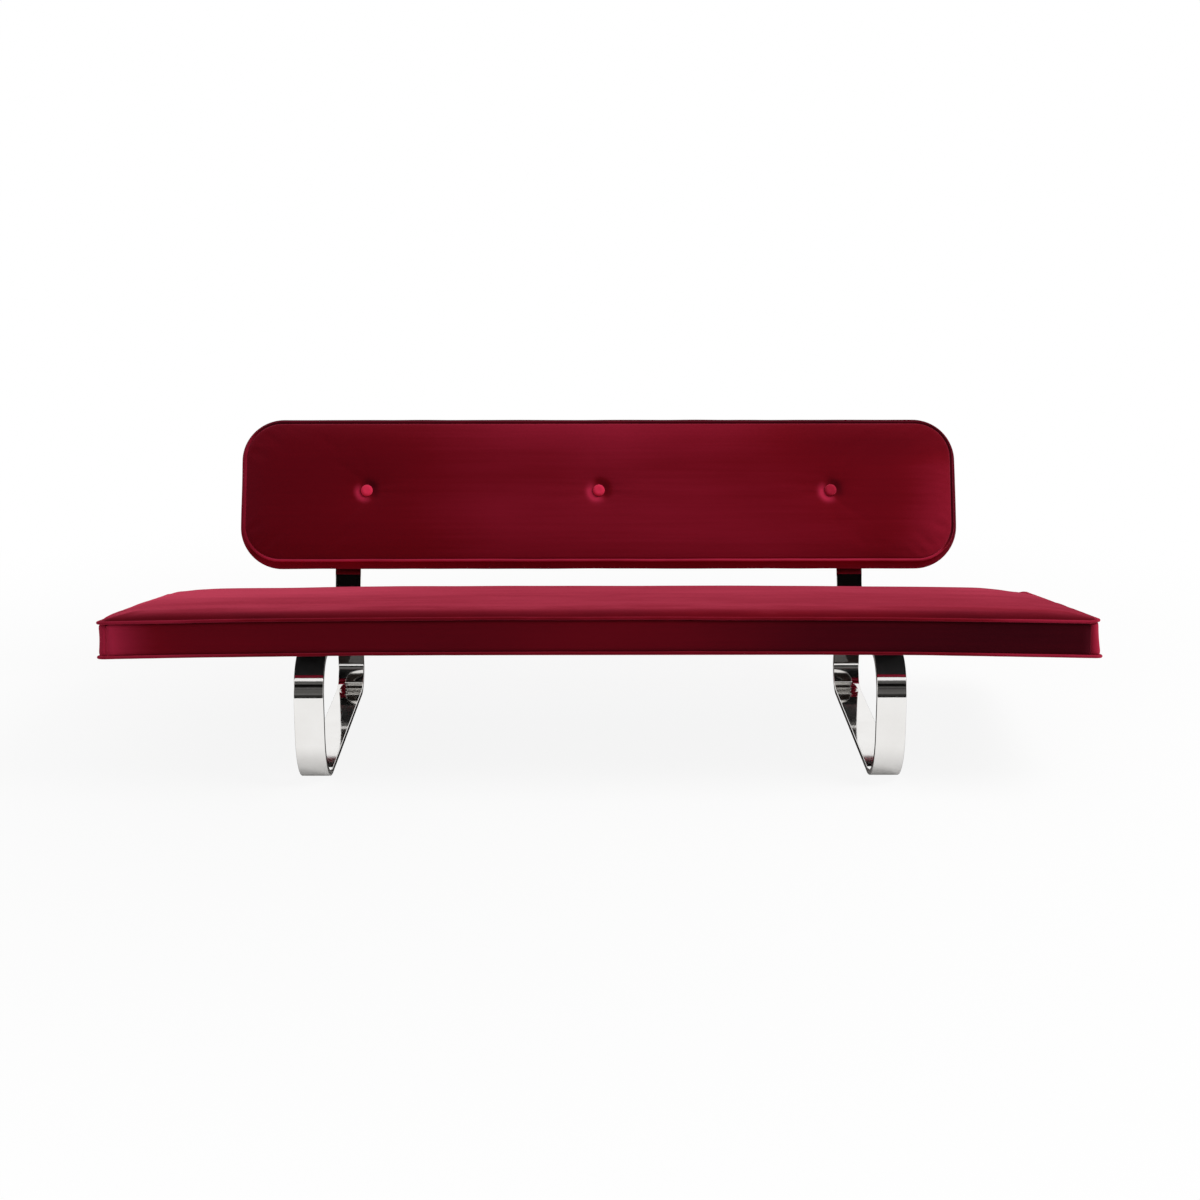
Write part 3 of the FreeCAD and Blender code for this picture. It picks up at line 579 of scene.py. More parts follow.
def velvet(name, lift=0.0, brushed=0.10, light=CRIMSON_LIGHT, stretch=(2.6, 110, 110), sheen=1.0):
    """Cut pile: dark when seen square on, pale at a glancing view, with brushed streaks, and a tone shifted
    per point by the pile's random lay and by painted light, shade and sheen.
    """
    material, tree, shader = new_material(name)
    nap_and_painted_light = tree.nodes.new("ShaderNodeAttribute")
    nap_and_painted_light.attribute_name = "nap_and_painted_light"
    streaks = noise_field(tree, scale=1.0, stretch=stretch, detail=4, rough=0.6)
    patches = noise_field(tree, scale=3.2, stretch=(0.6, 1.4, 1.4), detail=2, rough=0.5)
    pile = noise_field(tree, scale=1300.0, stretch=EVEN, detail=2, rough=0.6)
    shares = ((streaks, brushed), (patches, 0.26), (pile, 0.16))
    middle = 0.52
    start = middle + lift - 0.5 * sum(weight for _, weight in shares)
    tone = arithmetic(tree, "ADD", nap_and_painted_light.outputs["Fac"], start)
    for field, weight in shares:
        tone = arithmetic(tree, "ADD", tone, arithmetic(tree, "MULTIPLY", field, weight))
    stops = ((0.0, CRIMSON_BLACK), (0.12, CRIMSON_DARK), (middle, CRIMSON), (1.0, light))
    tree.links.new(ramp(tree, tone, stops), shader.inputs["Base Color"])
    set_inputs(shader, Roughness=0.85, Specular_IOR_Level=0.0)
    set_inputs(shader, Sheen_Weight=sheen, Sheen_Roughness=0.5, Sheen_Tint=CRIMSON_SHEEN)
    relief = arithmetic(tree, "ADD", arithmetic(tree, "MULTIPLY", streaks, 0.4 + brushed), pile)
    bump(tree, shader, relief, strength=0.30, distance=0.0012)
    return material


def polished_steel(name):
    """Mirror polish with faint clouds and brush marks."""
    material, tree, shader = new_material(name)
    cloudy = noise_field(tree, scale=9.0, stretch=EVEN, detail=4, rough=0.6)
    brushed = noise_field(tree, scale=1.0, stretch=(900, 12, 12), detail=3, rough=0.6)
    tree.links.new(ramp(tree, cloudy, ((0.3, STEEL_DARK), (0.7, STEEL_LIGHT))), shader.inputs["Base Color"])
    set_inputs(shader, Metallic=1.0)
    tree.links.new(scaled(tree, brushed, factor=0.05, offset=0.035), shader.inputs["Roughness"])
    bump(tree, shader, cloudy, strength=0.012, distance=0.01)
    return material


def woven(name, dark, light, scale, rough):
    """Plain cloth of crossed threads."""
    material, tree, shader = new_material(name)
    place = object_place(tree)
    waves = []
    for axis in ("X", "Y"):
        wave = add(tree, "ShaderNodeTexWave", Scale=scale, Distortion=0.6)
        wave.bands_direction = axis
        tree.links.new(place, wave.inputs["Vector"])
        waves.append(wave.outputs["Fac"])
    weave = arithmetic(tree, "MULTIPLY", *waves)
    patches = noise_field(tree, scale=14.0, stretch=EVEN, detail=3, rough=0.5)
    weave_share = 0.6
    threads = arithmetic(tree, "MULTIPLY", weave, weave_share)
    tone = arithmetic(tree, "ADD", threads, arithmetic(tree, "MULTIPLY", patches, 1 - weave_share))
    tree.links.new(ramp(tree, tone, ((0.1, dark), (0.8, light))), shader.inputs["Base Color"])
    set_inputs(shader, Roughness=rough)
    bump(tree, shader, weave, strength=0.35, distance=0.0006)
    return material


def mottled(name, dark, light, scale, rough, metal=0.0, stretch=EVEN, relief=0.1):
    """A hard or porous finish with an uneven tone."""
    material, tree, shader = new_material(name)
    field = noise_field(tree, scale=scale, stretch=stretch, detail=6, rough=0.6)
    tree.links.new(ramp(tree, field, ((0.3, dark), (0.7, light))), shader.inputs["Base Color"])
    unevenness = 0.2
    grain = scaled(tree, field, factor=unevenness, offset=rough - unevenness / 2)
    tree.links.new(grain, shader.inputs["Roughness"])
    set_inputs(shader, Metallic=metal)
    bump(tree, shader, field, strength=relief, distance=0.0008)
    return material


velvet_cloth = velvet("velvet")
# A shaded copy of the velvet: less sheen, to darken the back's boxing and rear piping
velvet_band_shaded = velvet("velvet_band_shaded", sheen=0.25)
# The seat's velvet is lifted a little and ends in CRIMSON_PALE, for the painted sheen at its rear
velvet_seat = velvet("velvet_seat", lift=0.03, brushed=0.55, light=CRIMSON_PALE, stretch=(5, 18, 18))
# The piping's velvet is lifted paler, a painted highlight along the cords
velvet_cord_painted_highlight = velvet("velvet_piping", lift=0.20)
# The buttons' velvet is lifted towards CRIMSON_BRIGHT, a painted highlight on the buttons
velvet_button_painted_highlight = velvet("velvet_button_painted_highlight", lift=0.46, light=CRIMSON_BRIGHT)
steel = polished_steel("polished_steel")
dust_cloth = woven("dust_cloth", (0.006, 0.006, 0.007), (0.022, 0.021, 0.022), scale=420, rough=0.95)
finishes = {
    "polished_steel": steel,
    "velvet": velvet_cloth,
    "velvet_piping": velvet_cord_painted_highlight,
    "foam": mottled("foam", (0.62, 0.55, 0.36), (0.78, 0.72, 0.52), scale=320, rough=0.95, relief=0.6),
    "frame_steel": mottled("frame_steel", (0.012, 0.012, 0.013), (0.024, 0.024, 0.026), scale=240, rough=0.5),
    "webbing": woven("webbing", (0.010, 0.009, 0.008), (0.050, 0.046, 0.040), scale=600, rough=0.9),
    "dust_cloth": dust_cloth,
    "plywood": mottled("plywood", (0.36, 0.22, 0.10), (0.52, 0.36, 0.20), scale=6, rough=0.6,
                       stretch=(1, 14, 14)),
    "fasteners": mottled("fasteners", (0.50, 0.50, 0.50), (0.66, 0.66, 0.65), scale=180, rough=0.32,
                         metal=1.0),
    "twine": woven("twine", (0.42, 0.35, 0.24), (0.60, 0.52, 0.40), scale=900, rough=0.9),
    "glide": mottled("glide", (0.010, 0.010, 0.011), (0.020, 0.020, 0.021), scale=300, rough=0.55),
}
for row in frame["record"]["subparts"]:
    item = nodes[row["node"]]
    material = finishes[row["material_slot"]]
    if not item.material_slots:
        item.data.materials.append(material)
    for slot in item.material_slots:
        slot.material = material


# Pads
def rolled_crown(height, reach, steps=10):
    """Insets, rises and corner growths of a crown that rolls over its edge like a bolster."""
    rows = []
    for step in range(steps + 1):
        angle = 0.5 * math.pi * step / steps
        drawn_in = 1 - math.cos(angle)
        rows.append((reach * drawn_in, height * math.sin(angle), ROLL_CORNER * reach * drawn_in))
    return rows


def domed_crown(height, middle, steps=10):
    """The same of a crown that rises steeply from its seam and levels out towards the middle."""
    rows = []
    for step in range(steps + 1):
        share = step / steps
        inset = DOME_REACH * middle * share ** 3
        rise = height * math.sin(0.5 * math.pi * share) ** DOME_STEEP
        rows.append((inset, rise, inset * (1 - 0.5 * share)))
    return rows


def pad(name, panel, seam, crown):
    """Crowned pad under one panel of cloth, down to a hidden base just below its seam."""
    rows = list(PAD_BASE)
    rows += [(SEAM_TUCK + inset, rise, growth) for inset, rise, growth in crown]
    rings = [inset_ring(panel, inset, seam + rise, growth, PAD_CORNER) for inset, rise, growth in rows]
    item = new_mesh(name, np.concatenate(rings), ring_faces(rings, both_ends=True))
    tool = item.modifiers.new("remesh", "REMESH")
    tool.mode = "VOXEL"
    tool.voxel_size = VOXEL
    applied(item)
    return item


def sewn_edge(points, seam):
    """One along a pad's seam and below it, none on its crown."""
    return 1 - smoothstep(seam + 0.001, seam + 0.006, points[:, 2])


def seat_nap_and_painted_light(points):
    """Painted shade along the seat's front edge, deeper towards the ends, and painted sheen at the rear, most
    at the left, over the pile's own random lay.
    """
    front_dark = SEAT_FRONT_DARK + SEAT_FRONT_ENDS_DARK * smoothstep(0.4, 0.9, np.abs(points[:, 0]))
    front = 1 - smoothstep(0.004, 0.04, points[:, 1])
    rear = smoothstep(0.15, 0.55, points[:, 1])
    left = smoothstep(0.2, 0.8, -points[:, 0])
    waves = ripple(points, height=NAP_WAVE, size=0.30, seed=3, along=0.5)
    return waves - front_dark * front + rear * (SEAT_REAR_PALE + SEAT_REAR_LEFT_PALE * left)


def seat_cushion():
    """The seat's top, swollen by simulation and then flattened at the rear and the ends."""
    item = pad("seat_cushion_top", SEAT_PANEL, SEAT_SEAM, rolled_crown(SEAT_CROWN, SEAT_ROLL))
    inflated(item, sewn_edge(coordinates(item), SEAT_SEAM), SEAT_SWELL)
    points = coordinates(item)
    crown = np.maximum(points[:, 2] - SEAT_SEAM, 0) / SEAT_CROWN
    from_end = SEAT_HALF - np.abs(points[:, 0])
    from_rear = SEAT_DEPTH - points[:, 1]
    end_flat = np.where(points[:, 0] > 0, RIGHT_FLAT, LEFT_FLAT)
    points[:, 2] -= crown * REAR_FLAT * smoothstep(0.40, 0.04, from_rear)
    points[:, 2] -= crown * CORNER_FLAT * np.exp(-(from_end / 0.07) ** 2 - (from_rear / 0.10) ** 2)
    points[:, 2] -= crown * end_flat * smoothstep(0.14, 0.02, from_end)
    upper = smoothstep(SEAT_SEAM + 0.004, SEAT_SEAM + 0.012, points[:, 2])
    long_waves = ripple(points, height=0.0012, size=0.16, seed=1, along=0.6)
    short_waves = ripple(points, height=0.0006, size=0.05, seed=2, along=0.35)
    points[:, 2] += upper * (long_waves + short_waves)
    set_coordinates(item, on_seat(points))
    set_nap_and_painted_light(item, seat_nap_and_painted_light(points))
    piece(item, "velvet", velvet_seat, "seat_cover_top", "seat_foam")


seat_cushion()


# Piping
def cord(name, edge, level, place_on, seed, replaced, material, shade):
    """Piping sewn into a seam, a little uneven along its way."""
    line, normal = edge
    place = at_level(line, level)
    sway = ripple(place, height=0.0006, size=0.10, seed=seed)
    rise = ripple(place, height=0.0006, size=0.13, seed=seed + 1)
    rise += ripple(place, height=0.0009, size=0.42, seed=seed + 4)
    girth = CORD_RADIUS * (1 + ripple(place, height=0.05, size=0.03, seed=seed + 2))
    rings = []
    for side in range(CORD_SIDES):
        angle = 2 * math.pi * side / CORD_SIDES
        out = PIPING_STAND + CORD_LIFT + sway + girth * math.cos(angle)
        flat = line + normal * out[:, None]
        rings.append(np.column_stack((flat, level + rise + girth * math.sin(angle))))
    points = np.concatenate(rings)
    item = new_mesh(name, place_on(points), grid_faces(CORD_SIDES, len(line), closed=True, tube=True))
    set_nap_and_painted_light(item, ripple(points, height=0.10, size=0.06, seed=seed + 3) + shade(points))
    piece(item, "velvet_piping", material, replaced)


def seat_cord_shade(points):
    """Painted shade dulls the seat's piping between its ends, and painted sheen brightens it towards the
    ends.
    """
    return -SEAT_CORD_DULL + SEAT_CORD_ENDS * smoothstep(0.60, 0.97, np.abs(points[:, 0]))


def back_cord_shade(points):
    """Painted shade on the back's piping along the top and the right end, and a painted highlight along the
    bottom.
    """
    top = smoothstep(BACK_LOW + 0.10, BACK_HIGH - 0.02, points[:, 1])
    right = smoothstep(BACK_HALF - 0.03, BACK_HALF, points[:, 0])
    bottom = smoothstep(BACK_LOW + 0.03, BACK_LOW, points[:, 1])
    off_left = smoothstep(-BACK_HALF, 0.04 - BACK_HALF, points[:, 0])
    return BACK_CORD_PALE * bottom - BACK_CORD_DARK * np.maximum(top * off_left, right)


# Painted shade: the back's rear piping is darkened all along
def rear_cord_shade(points):
    return np.full(len(points), -REAR_CORD_DARK)


seat_edge = outline(SEAT_PANEL, runs=(240, 84), turns=10)
back_edge = outline(BACK_PANEL, runs=(200, 20), turns=28)
cord("seat_cord_top", seat_edge, SEAT_SEAM + CORD_LIFT, on_seat, 11,
     "seat_piping_top", velvet_cord_painted_highlight, seat_cord_shade)
cord("seat_cord_bottom", seat_edge, SEAM_LEVEL - CORD_LIFT, on_seat, 21,
     "seat_piping_bottom", velvet_cord_painted_highlight, seat_cord_shade)
cord("back_cord_front", back_edge, BACK_SEAM + CORD_LIFT, on_back, 31,
     "back_piping_front", velvet_cord_painted_highlight, back_cord_shade)
cord("back_cord_rear", back_edge, SEAM_LEVEL - CORD_LIFT, on_back, 41,
     "back_piping_rear", velvet_band_shaded, rear_cord_shade)


# Boxing
def band(name, edge, seam, swell, place_on, closed, seed, shade=None):
    """Boxing between two pipings: its edges tuck in under them, and its ends into the upright seams."""
    line, normal = edge
    steps = np.concatenate(([0.0], np.cumsum(np.linalg.norm(np.diff(line, axis=0), axis=1))))
    from_end = np.minimum(steps, steps[-1] - steps)
    height = seam - SEAM_LEVEL - BAND_LOW
    rows = []
    for row in range(BAND_ROWS):
        share = row / (BAND_ROWS - 1)
        level = BAND_LOW - BAND_OVERLAP + (height + 2 * BAND_OVERLAP) * share
        arch = 4 * share * (1 - share)
        tuck = BAND_TUCK * (smoothstep(0.10, 0.0, share) + smoothstep(0.90, 1.0, share))
        out = swell * arch - tuck + ripple(at_level(line, level), height=0.0009, size=0.09, seed=seed) * arch
        if not closed:
            out -= SEAM_PULL * (1 - smoothstep(0.0, SEAM_PULL_REACH, from_end))
        rows.append(at_level(line + normal * out[:, None], level))
    points = np.concatenate(rows)
    item = new_mesh(name, place_on(points), flipped(grid_faces(BAND_ROWS, len(line), closed)))
    thickened(item, BAND_CLOTH)
    values = ripple(points, height=NAP_WAVE, size=0.20, seed=seed + 1, along=0.6)
    if shade is not None:
        values += shade(points)
    set_nap_and_painted_light(item, values)
    return item


def boxing_panels():
    """Which points of the seat's edge each of its four bands has, in order along it."""
    line, _ = seat_edge
    order = np.arange(len(line))
    turned = len(line) // 2
    inner = (line[:, 0] >= SEAM_LEFT) & (line[:, 0] <= SEAM_RIGHT)
    forward = line[:, 1] < SEAT_DEPTH / 2
    rear = order[inner & ~forward]
    return {
        "front": order[inner & forward],
        "rear": np.concatenate((rear[rear > turned], rear[rear <= turned])),
        "left": order[line[:, 0] < SEAM_LEFT],
        "right": order[line[:, 0] > SEAM_RIGHT],
    }


def between_seams(chosen):
    """Edge of one band, ended exactly on its upright seams."""
    line = seat_edge[0][chosen]
    normal = seat_edge[1][chosen]
    ends = [(SEAM_LEFT if line[end, 0] < 0 else SEAM_RIGHT, line[end, 1]) for end in (0, -1)]
    inside = np.minimum(np.abs(line[:, 0] - SEAM_LEFT), np.abs(line[:, 0] - SEAM_RIGHT)) > 1e-4
    line = np.concatenate(([ends[0]], line[inside], [ends[1]]))
    normal = np.concatenate(([normal[0]], normal[inside], [normal[-1]]))
    return line, normal


def front_shade(points):
    """Painted sheen near the band's left end, and painted shade over the band that deepens to the right end.
    """
    pale = FRONT_BAND_PALE * np.exp(-np.maximum(points[:, 0] - SEAM_LEFT, 0) / FRONT_BAND_PALE_REACH)
    return pale - FRONT_BAND_DARK - FRONT_BAND_RIGHT_DARK * smoothstep(0.0, 0.8, points[:, 0])


# Painted sheen on the seat's end bands, stronger at the left end
def end_shade(points):
    return np.where(points[:, 0] < 0, LEFT_BAND_PALE, RIGHT_BAND_PALE)


panels = boxing_panels()
for side, shade, seed in (
        ("front", front_shade, 51), ("rear", None, 55), ("left", end_shade, 61), ("right", end_shade, 65)):
    edge = between_seams(panels[side])
    item = band("seat_band_" + side, edge, SEAT_SEAM, -SEAT_DRAW_IN, on_seat, False, seed, shade)
    piece(item, "velvet", velvet_cloth, "seat_boxing_" + side)

# Back cushion
tufts = [(step * BUTTON_SPACING, (BACK_LOW + BACK_HIGH) / 2) for step in (-1, 0, 1)]


def tuft_distance(points):
    """Distance in the panel's plane to the nearest button, and the angle round it."""
    away = np.full(len(points), np.inf)
    turn = np.zeros(len(points))
    for x, y in tufts:
        dx = points[:, 0] - x
        dy = points[:, 1] - y
        reach = np.hypot(dx, dy)
        turn = np.where(reach < away, np.arctan2(dy, dx), turn)
        away = np.minimum(away, reach)
    return away, turn


def back_nap_and_painted_light(points, away, turn):
    """Painted light on the back: paler in the middle and at the low right, painted shade at the left and the
    high right, and a painted highlight on each dimple's lit side with painted shade on its other side, over
    the pile's own random lay.
    """
    x = points[:, 0]
    y = points[:, 1]
    middle = np.exp(-(x / 0.40) ** 2)
    low_right = smoothstep(0.64, 0.80, x) * smoothstep(0.43, 0.33, y)
    left = smoothstep(0.2, 0.75, -x)
    high_right = smoothstep(0.3, 0.7, x) * smoothstep(0.33, 0.42, y)
    rim = np.exp(-((away - RIM_START) / RIM_WIDTH) ** 2)
    lit = np.cos(turn - DIMPLE_LIGHT)
    nap_and_painted_light = ripple(points, height=NAP_WAVE, size=0.25, seed=7, along=0.5)
    nap_and_painted_light += BACK_MIDDLE_PALE * middle + BACK_LOW_RIGHT_PALE * low_right
    nap_and_painted_light -= BACK_LEFT_DARK * left + BACK_HIGH_RIGHT_DARK * high_right
    nap_and_painted_light += rim * np.where(lit > 0, DIMPLE_LIT, DIMPLE_SHADED) * lit
    return nap_and_painted_light


def back_cushion():
    """The back's front, dipped at its tufts, swollen by simulation and then pinched in round the buttons."""
    start_crown = domed_crown(BACK_CROWN - SWELL_ROOM * BACK_SWELL, (BACK_HIGH - BACK_LOW) / 2)
    item = pad("back_cushion_front", BACK_PANEL, BACK_SEAM, start_crown)
    points = coordinates(item)
    away, _ = tuft_distance(points)
    upper = smoothstep(BACK_SEAM + 0.002, BACK_SEAM + 0.008, points[:, 2])
    dip = 1 - smoothstep(BUTTON_RADIUS * 0.9, TUFT_RADIUS, away)
    points[:, 2] -= TUFT_START * upper * dip * (points[:, 2] - TUFT_FLOOR)
    set_coordinates(item, points)
    refined(item, away < TUFT_RADIUS)
    points = coordinates(item)
    away, _ = tuft_distance(points)
    buttoned = 1 - smoothstep(BUTTON_RADIUS * 0.8, BUTTON_RADIUS * 1.6, away)
    inflated(item, np.maximum(sewn_edge(points, BACK_SEAM), buttoned), BACK_SWELL)
    points = coordinates(item)
    away, turn = tuft_distance(points)
    upper = smoothstep(BACK_SEAM + 0.004, BACK_SEAM + 0.010, points[:, 2])
    folds = np.exp(-((away - FOLD_START) / FOLD_WIDTH) ** 2) * np.cos(FOLDS * turn + FOLD_TURN)
    pinch = np.exp(-np.maximum(away - PINCH_START, 0) / PINCH_REACH)
    points[:, 2] -= upper * pinch * np.maximum(points[:, 2] - TUFT_FLOOR, 0)
    points[:, 2] += upper * (ripple(points, height=0.0008, size=0.14, seed=6) + FOLD_DEPTH * folds)
    set_coordinates(item, on_back(points))
    set_nap_and_painted_light(item, back_nap_and_painted_light(points, away, turn))
    piece(item, "velvet", velvet_cloth, "back_cover_front", "back_foam")


def back_shade(points):
    """Painted shade along the band's top and right end and towards the rear along its bottom, painted light
    at the front of its bottom, and painted sheen at its left end.
    """
    top = smoothstep(BACK_HIGH - 0.03, BACK_HIGH, points[:, 1])
    bottom = smoothstep(BACK_LOW + 0.02, BACK_LOW, points[:, 1])
    ends = smoothstep(BACK_HALF - 0.02, BACK_HALF + 0.004, np.abs(points[:, 0]))
    rear = 1 - smoothstep(0.012, 0.050, points[:, 2])
    end_tone = np.where(points[:, 0] < 0, BACK_BAND_LEFT_PALE, -BACK_BAND_RIGHT_DARK)
    bottom_tone = BACK_BAND_BOTTOM_PALE - BACK_BAND_REAR_DARK * rear
    return -BACK_BAND_TOP_DARK * top + bottom * bottom_tone + ends * end_tone


back_cushion()
back_band = band("back_band", back_edge, BACK_SEAM, BACK_BULGE, on_back, True, 71, back_shade)
piece(back_band, "velvet", velvet_band_shaded, "back_boxing")


def rear_panel():
    """Cloth over the back board, tucked in behind the piping, flat under the bars and slack beside them."""
    rim_inset = REAR_RIM[-1][0]
    profile = list(REAR_RIM)
    for step in range(1, REAR_RINGS + 1):
        profile.append((rim_inset + REAR_REACH * step / REAR_RINGS, REAR_LEVEL))
    rings = [inset_ring(BACK_PANEL, inset, level) for inset, level in profile]
    points = np.concatenate(rings)
    inside = smoothstep(0.004, 0.05, edge_distance(points, BACK_PANEL))
    slack = inside * off_bars(points, start=0.01, stop=0.09)
    points[:, 2] -= slack * (REAR_SLACK + ripple(points, height=0.0008, size=0.16, seed=8))
    item = new_mesh("back_panel_rear", on_back(points), flipped(ring_faces(rings, both_ends=False)))
    thickened(item, REAR_CLOTH)
    set_nap_and_painted_light(item, ripple(points, height=0.06, size=0.25, seed=9, along=0.5))
    piece(item, "velvet", velvet_cloth, "back_cover_rear")


def button(name, x, y, nap_and_painted_light):
    """Cloth-covered button: a shallow dome with the cloth gathered round its rim."""
    turn = GATHER_TURN * x
    base = TUFT_FLOOR + BUTTON_LIFT
    rings = []
    for reach, level in reversed(BUTTON_PROFILE):
        gather = GATHER_DEPTH * float(smoothstep(0.009, 0.013, reach))
        ring = []
        for side in range(BUTTON_SIDES):
            angle = 2 * math.pi * side / BUTTON_SIDES
            pull = reach + gather * math.cos(GATHERS * angle + turn)
            ring.append((x + pull * math.cos(angle), y + pull * math.sin(angle), base + level))
        rings.append(np.array(ring))
    points = np.concatenate(rings)
    item = new_mesh(name, on_back(points), ring_faces(rings, both_ends=True))
    set_nap_and_painted_light(item, np.full(len(points), nap_and_painted_light))
    tool = item.modifiers.new("smooth", "SUBSURF")
    tool.levels = 1
    tool.render_levels = 1
    return item


rear_panel()
# Painted shade on the middle button, and more on the right one
for side, nap_and_painted_light, (x, y) in zip(("left", "middle", "right"), (0.0, -0.05, -0.30), tufts):
    item = button("back_tuft_button_" + side, x, y, nap_and_painted_light)
    piece(item, "velvet", velvet_button_painted_highlight, "back_button_" + side)


# Underside
def underside_rings(profile):
    return [inset_ring(SEAT_PANEL, inset, level, runs=UNDERSIDE_RUNS, turns=UNDERSIDE_TURNS)
            for inset, level in profile]


def hem():
    """Return of the boxing under the seat's edge, which holds the lining."""
    rings = underside_rings(HEM_PROFILE)
    points = np.concatenate(rings)
    faces = grid_faces(len(rings), len(rings[0]), closed=True, tube=True)
    item = new_mesh("seat_hem", under_seat(points), flipped(faces))
    # Painted light: the hem, which sits in shade under the seat, is given a paler tone
    set_nap_and_painted_light(item, ripple(points, height=NAP_WAVE, size=0.2, seed=81) + HEM_PALE)
    return piece(item, "velvet", velvet_cloth, "seat_dust_cover")


def lining(hem_piece):
    """Sheet stretched under the seat, its edge in the hem, flat on the loops and slack between the rails."""
    profile = []
    for step in range(LINING_RINGS):
        inset = LINING_INSET + LINING_REACH * (step / (LINING_RINGS - 1)) ** LINING_EASE
        in_hem = 1 - float(smoothstep(LINING_INSET, LINING_INSET + LINING_LIFT_REACH, inset))
        profile.append((inset, LINING_LEVEL + LINING_LIFT * in_hem))
    rings = underside_rings(profile)
    points = np.concatenate(rings)
    inside = smoothstep(0.03, 0.12, edge_distance(points, SEAT_PANEL))
    slack = inside * off_bars(points, start=0.005, stop=0.08)
    points[:, 2] -= slack * (LINING_SLACK + ripple(points, height=0.0012, size=0.2, seed=10))
    item = new_mesh("seat_lining_sheet", under_seat(points), flipped(ring_faces(rings, both_ends=False)))
    thickened(item, LINING_CLOTH)
    piece(item, "dust_cloth", dust_cloth, "seat_dust_cover")


lining(hem())


# Stage
def seen_directly(tree):
    """One for camera rays, and one for glossy and transmission rays."""
    path = tree.nodes.new("ShaderNodeLightPath")
    mirrored = arithmetic(tree, "MAXIMUM", path.outputs["Is Glossy Ray"], path.outputs["Is Transmission Ray"])
    return path.outputs["Is Camera Ray"], mirrored


def spread(tree, value, start, stop, low=0.0, high=1.0):
    """Smooth change from a low to a high value as another goes from start to stop."""
    node = tree.nodes.new("ShaderNodeMapRange")
    node.interpolation_type = "SMOOTHSTEP"
    set_inputs(node, From_Min=start, From_Max=stop, To_Min=low, To_Max=high)
    tree.links.new(value, node.inputs["Value"])
    return node.outputs["Result"]


def mixed(tree, share, first, second, output):
    """Send two shaders to the output, mixed by a share."""
    mix = tree.nodes.new("ShaderNodeMixShader")
    tree.links.new(share, mix.inputs["Fac"])
    tree.links.new(first, mix.inputs[1])
    tree.links.new(second, mix.inputs[2])
    tree.links.new(mix.outputs["Shader"], tree.nodes[output].inputs["Surface"])


def floor():
    """Pale floor, nearly plain white to the camera, which the bars mirror as dark under the sofa."""
    corners = ((-FLOOR_HALF, -FLOOR_HALF, 0), (FLOOR_HALF, -FLOOR_HALF, 0),
               (FLOOR_HALF, FLOOR_HALF, 0), (-FLOOR_HALF, FLOOR_HALF, 0))
    item = new_mesh("floor", corners, [(0, 1, 2, 3)])
    material, tree, principled = new_material("pale_floor")
    tree.nodes.remove(principled)
    diffuse = tree.nodes.new("ShaderNodeBsdfDiffuse")
    glow = add(tree, "ShaderNodeEmission", Color=WHITE, Strength=1.0)
    place = object_place(tree)
    away = tree.nodes.new("ShaderNodeVectorMath")
    away.operation = "LENGTH"
    tree.links.new(place, away.inputs[0])
    axes = object_axes(tree, place)
    camera_ray, mirrored = seen_directly(tree)
    white_share = spread(tree, away.outputs["Value"], start=0.8, stop=2.6, low=0.90, high=1.0)
    forward = arithmetic(tree, "MULTIPLY", axes["Y"], -1.0)
    before = spread(tree, forward, start=0.28, stop=0.54)
    behind = spread(tree, axes["Y"], start=0.45, stop=1.2)
    sideways = arithmetic(tree, "ABSOLUTE", axes["X"], 0.0)
    beside = spread(tree, sideways, start=0.9, stop=1.4)
    clear = arithmetic(tree, "MAXIMUM", arithmetic(tree, "MAXIMUM", before, behind), beside)
    share = arithmetic(tree, "ADD", arithmetic(tree, "MULTIPLY", camera_ray, white_share),
                       arithmetic(tree, "MULTIPLY", mirrored, clear))
    lit = arithmetic(tree, "MAXIMUM", spread(tree, forward, start=0.10, stop=0.40), clear)
    shaded = arithmetic(tree, "MULTIPLY", mirrored, arithmetic(tree, "SUBTRACT", 1.0, lit))
    color = ramp(tree, shaded, ((0.0, FLOOR_PALE), (1.0, FLOOR_SHADED)))
    tree.links.new(color, diffuse.inputs["Color"])
    mixed(tree, share, diffuse.outputs["BSDF"], glow.outputs["Emission"], "Material Output")
    item.data.materials.append(material)


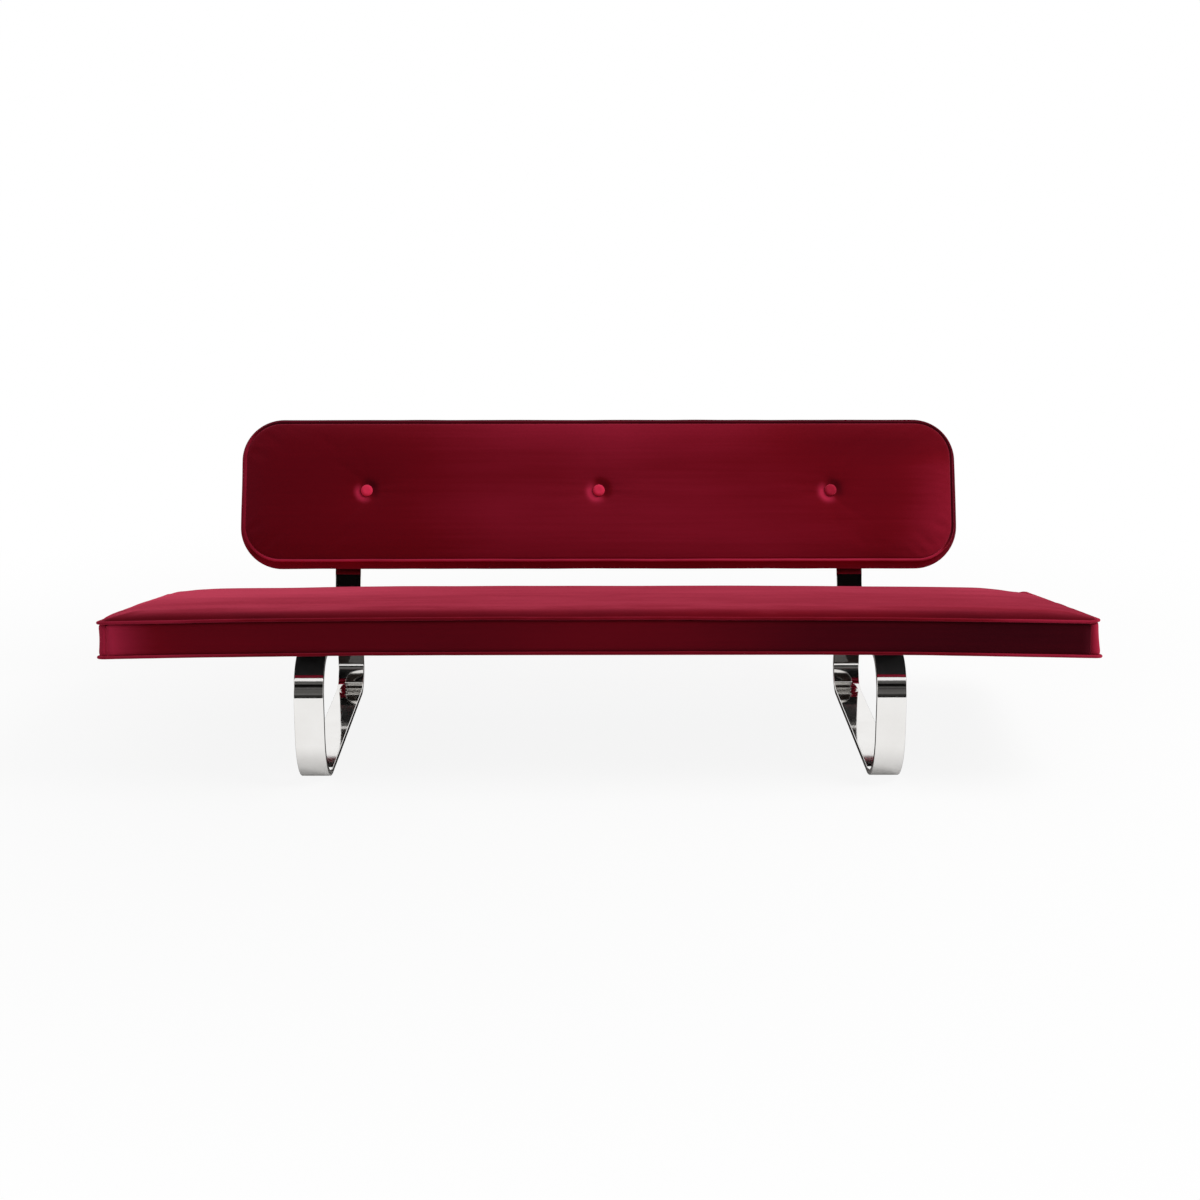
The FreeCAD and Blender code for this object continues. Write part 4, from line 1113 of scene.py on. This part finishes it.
def dark_wall():
    """Dark side of the studio behind the camera, which shows in the polished bars alone."""
    corners = ((-WALL_HALF, WALL_Y, WALL_LOW), (WALL_HALF, WALL_Y, WALL_LOW),
               (WALL_HALF, WALL_Y, WALL_HIGH), (-WALL_HALF, WALL_Y, WALL_HIGH))
    item = new_mesh("studio_wall", corners, [(0, 1, 2, 3)])
    material, tree, shader = new_material("studio_wall")
    streaks = noise_field(tree, scale=1.0, stretch=(0.12, 1, 3.4), detail=3, rough=0.6)
    height = object_axes(tree, object_place(tree))["Z"]
    upper = spread(tree, height, start=4.4, stop=5.0)
    above_floor = spread(tree, height, start=0.2, stop=1.2, low=0.1, high=1.0)
    below_gap = spread(tree, height, start=3.3, stop=3.9, low=1.0, high=0.0)
    lower = arithmetic(tree, "MULTIPLY", above_floor, below_gap)
    lower_share = 0.8
    bands = arithmetic(tree, "ADD", upper, arithmetic(tree, "MULTIPLY", lower, lower_share))
    tone = arithmetic(tree, "MULTIPLY", streaks, bands)
    tree.links.new(ramp(tree, tone, WALL_STOPS), shader.inputs["Base Color"])
    set_inputs(shader, Roughness=1.0, Specular_IOR_Level=0.0)
    item.data.materials.append(material)
    item.visible_camera = False


def world():
    """White to the camera and in the polished bars, and a dimmer light on everything else."""
    studio = bpy.data.worlds.new("studio")
    scene.world = studio
    studio.use_nodes = True
    tree = studio.node_tree
    ambient = tree.nodes["Background"]
    set_inputs(ambient, Color=WHITE, Strength=AMBIENT)
    white = add(tree, "ShaderNodeBackground", Color=WHITE, Strength=1.0)
    share = arithmetic(tree, "MAXIMUM", *seen_directly(tree))
    mixed(tree, share, ambient.outputs["Background"], white.outputs["Background"], "World Output")


def area_light(name, place, target, size, power):
    data = bpy.data.lights.new(name, "AREA")
    data.shape = "RECTANGLE"
    data.size, data.size_y = size
    data.energy = power
    item = bpy.data.objects.new(name, data)
    scene.collection.objects.link(item)
    item.location = place
    item.rotation_euler = (Vector(target) - Vector(place)).to_track_quat("-Z", "Y").to_euler()


floor()
dark_wall()
world()
area_light("key", place=(2.2, -1.1, 3.0), target=(0.1, 0.1, 0.3), size=(2.2, 1.4), power=80)
area_light("fill", place=(-2.6, -2.4, 1.8), target=(0, 0, 0.3), size=(2.0, 1.6), power=8)

camera = bpy.data.cameras.new("camera")
camera.lens = CAMERA_LENS
camera.sensor_width = CAMERA_SENSOR
camera.clip_end = CAMERA_REACH
eye = bpy.data.objects.new("camera", camera)
scene.collection.objects.link(eye)
eye.location = CAMERA_PLACE
eye.rotation_euler = (CAMERA_TILT, 0.0, CAMERA_TURN)
scene.camera = eye
scene.view_settings.view_transform = "Standard"

bpy.context.view_layer.update()
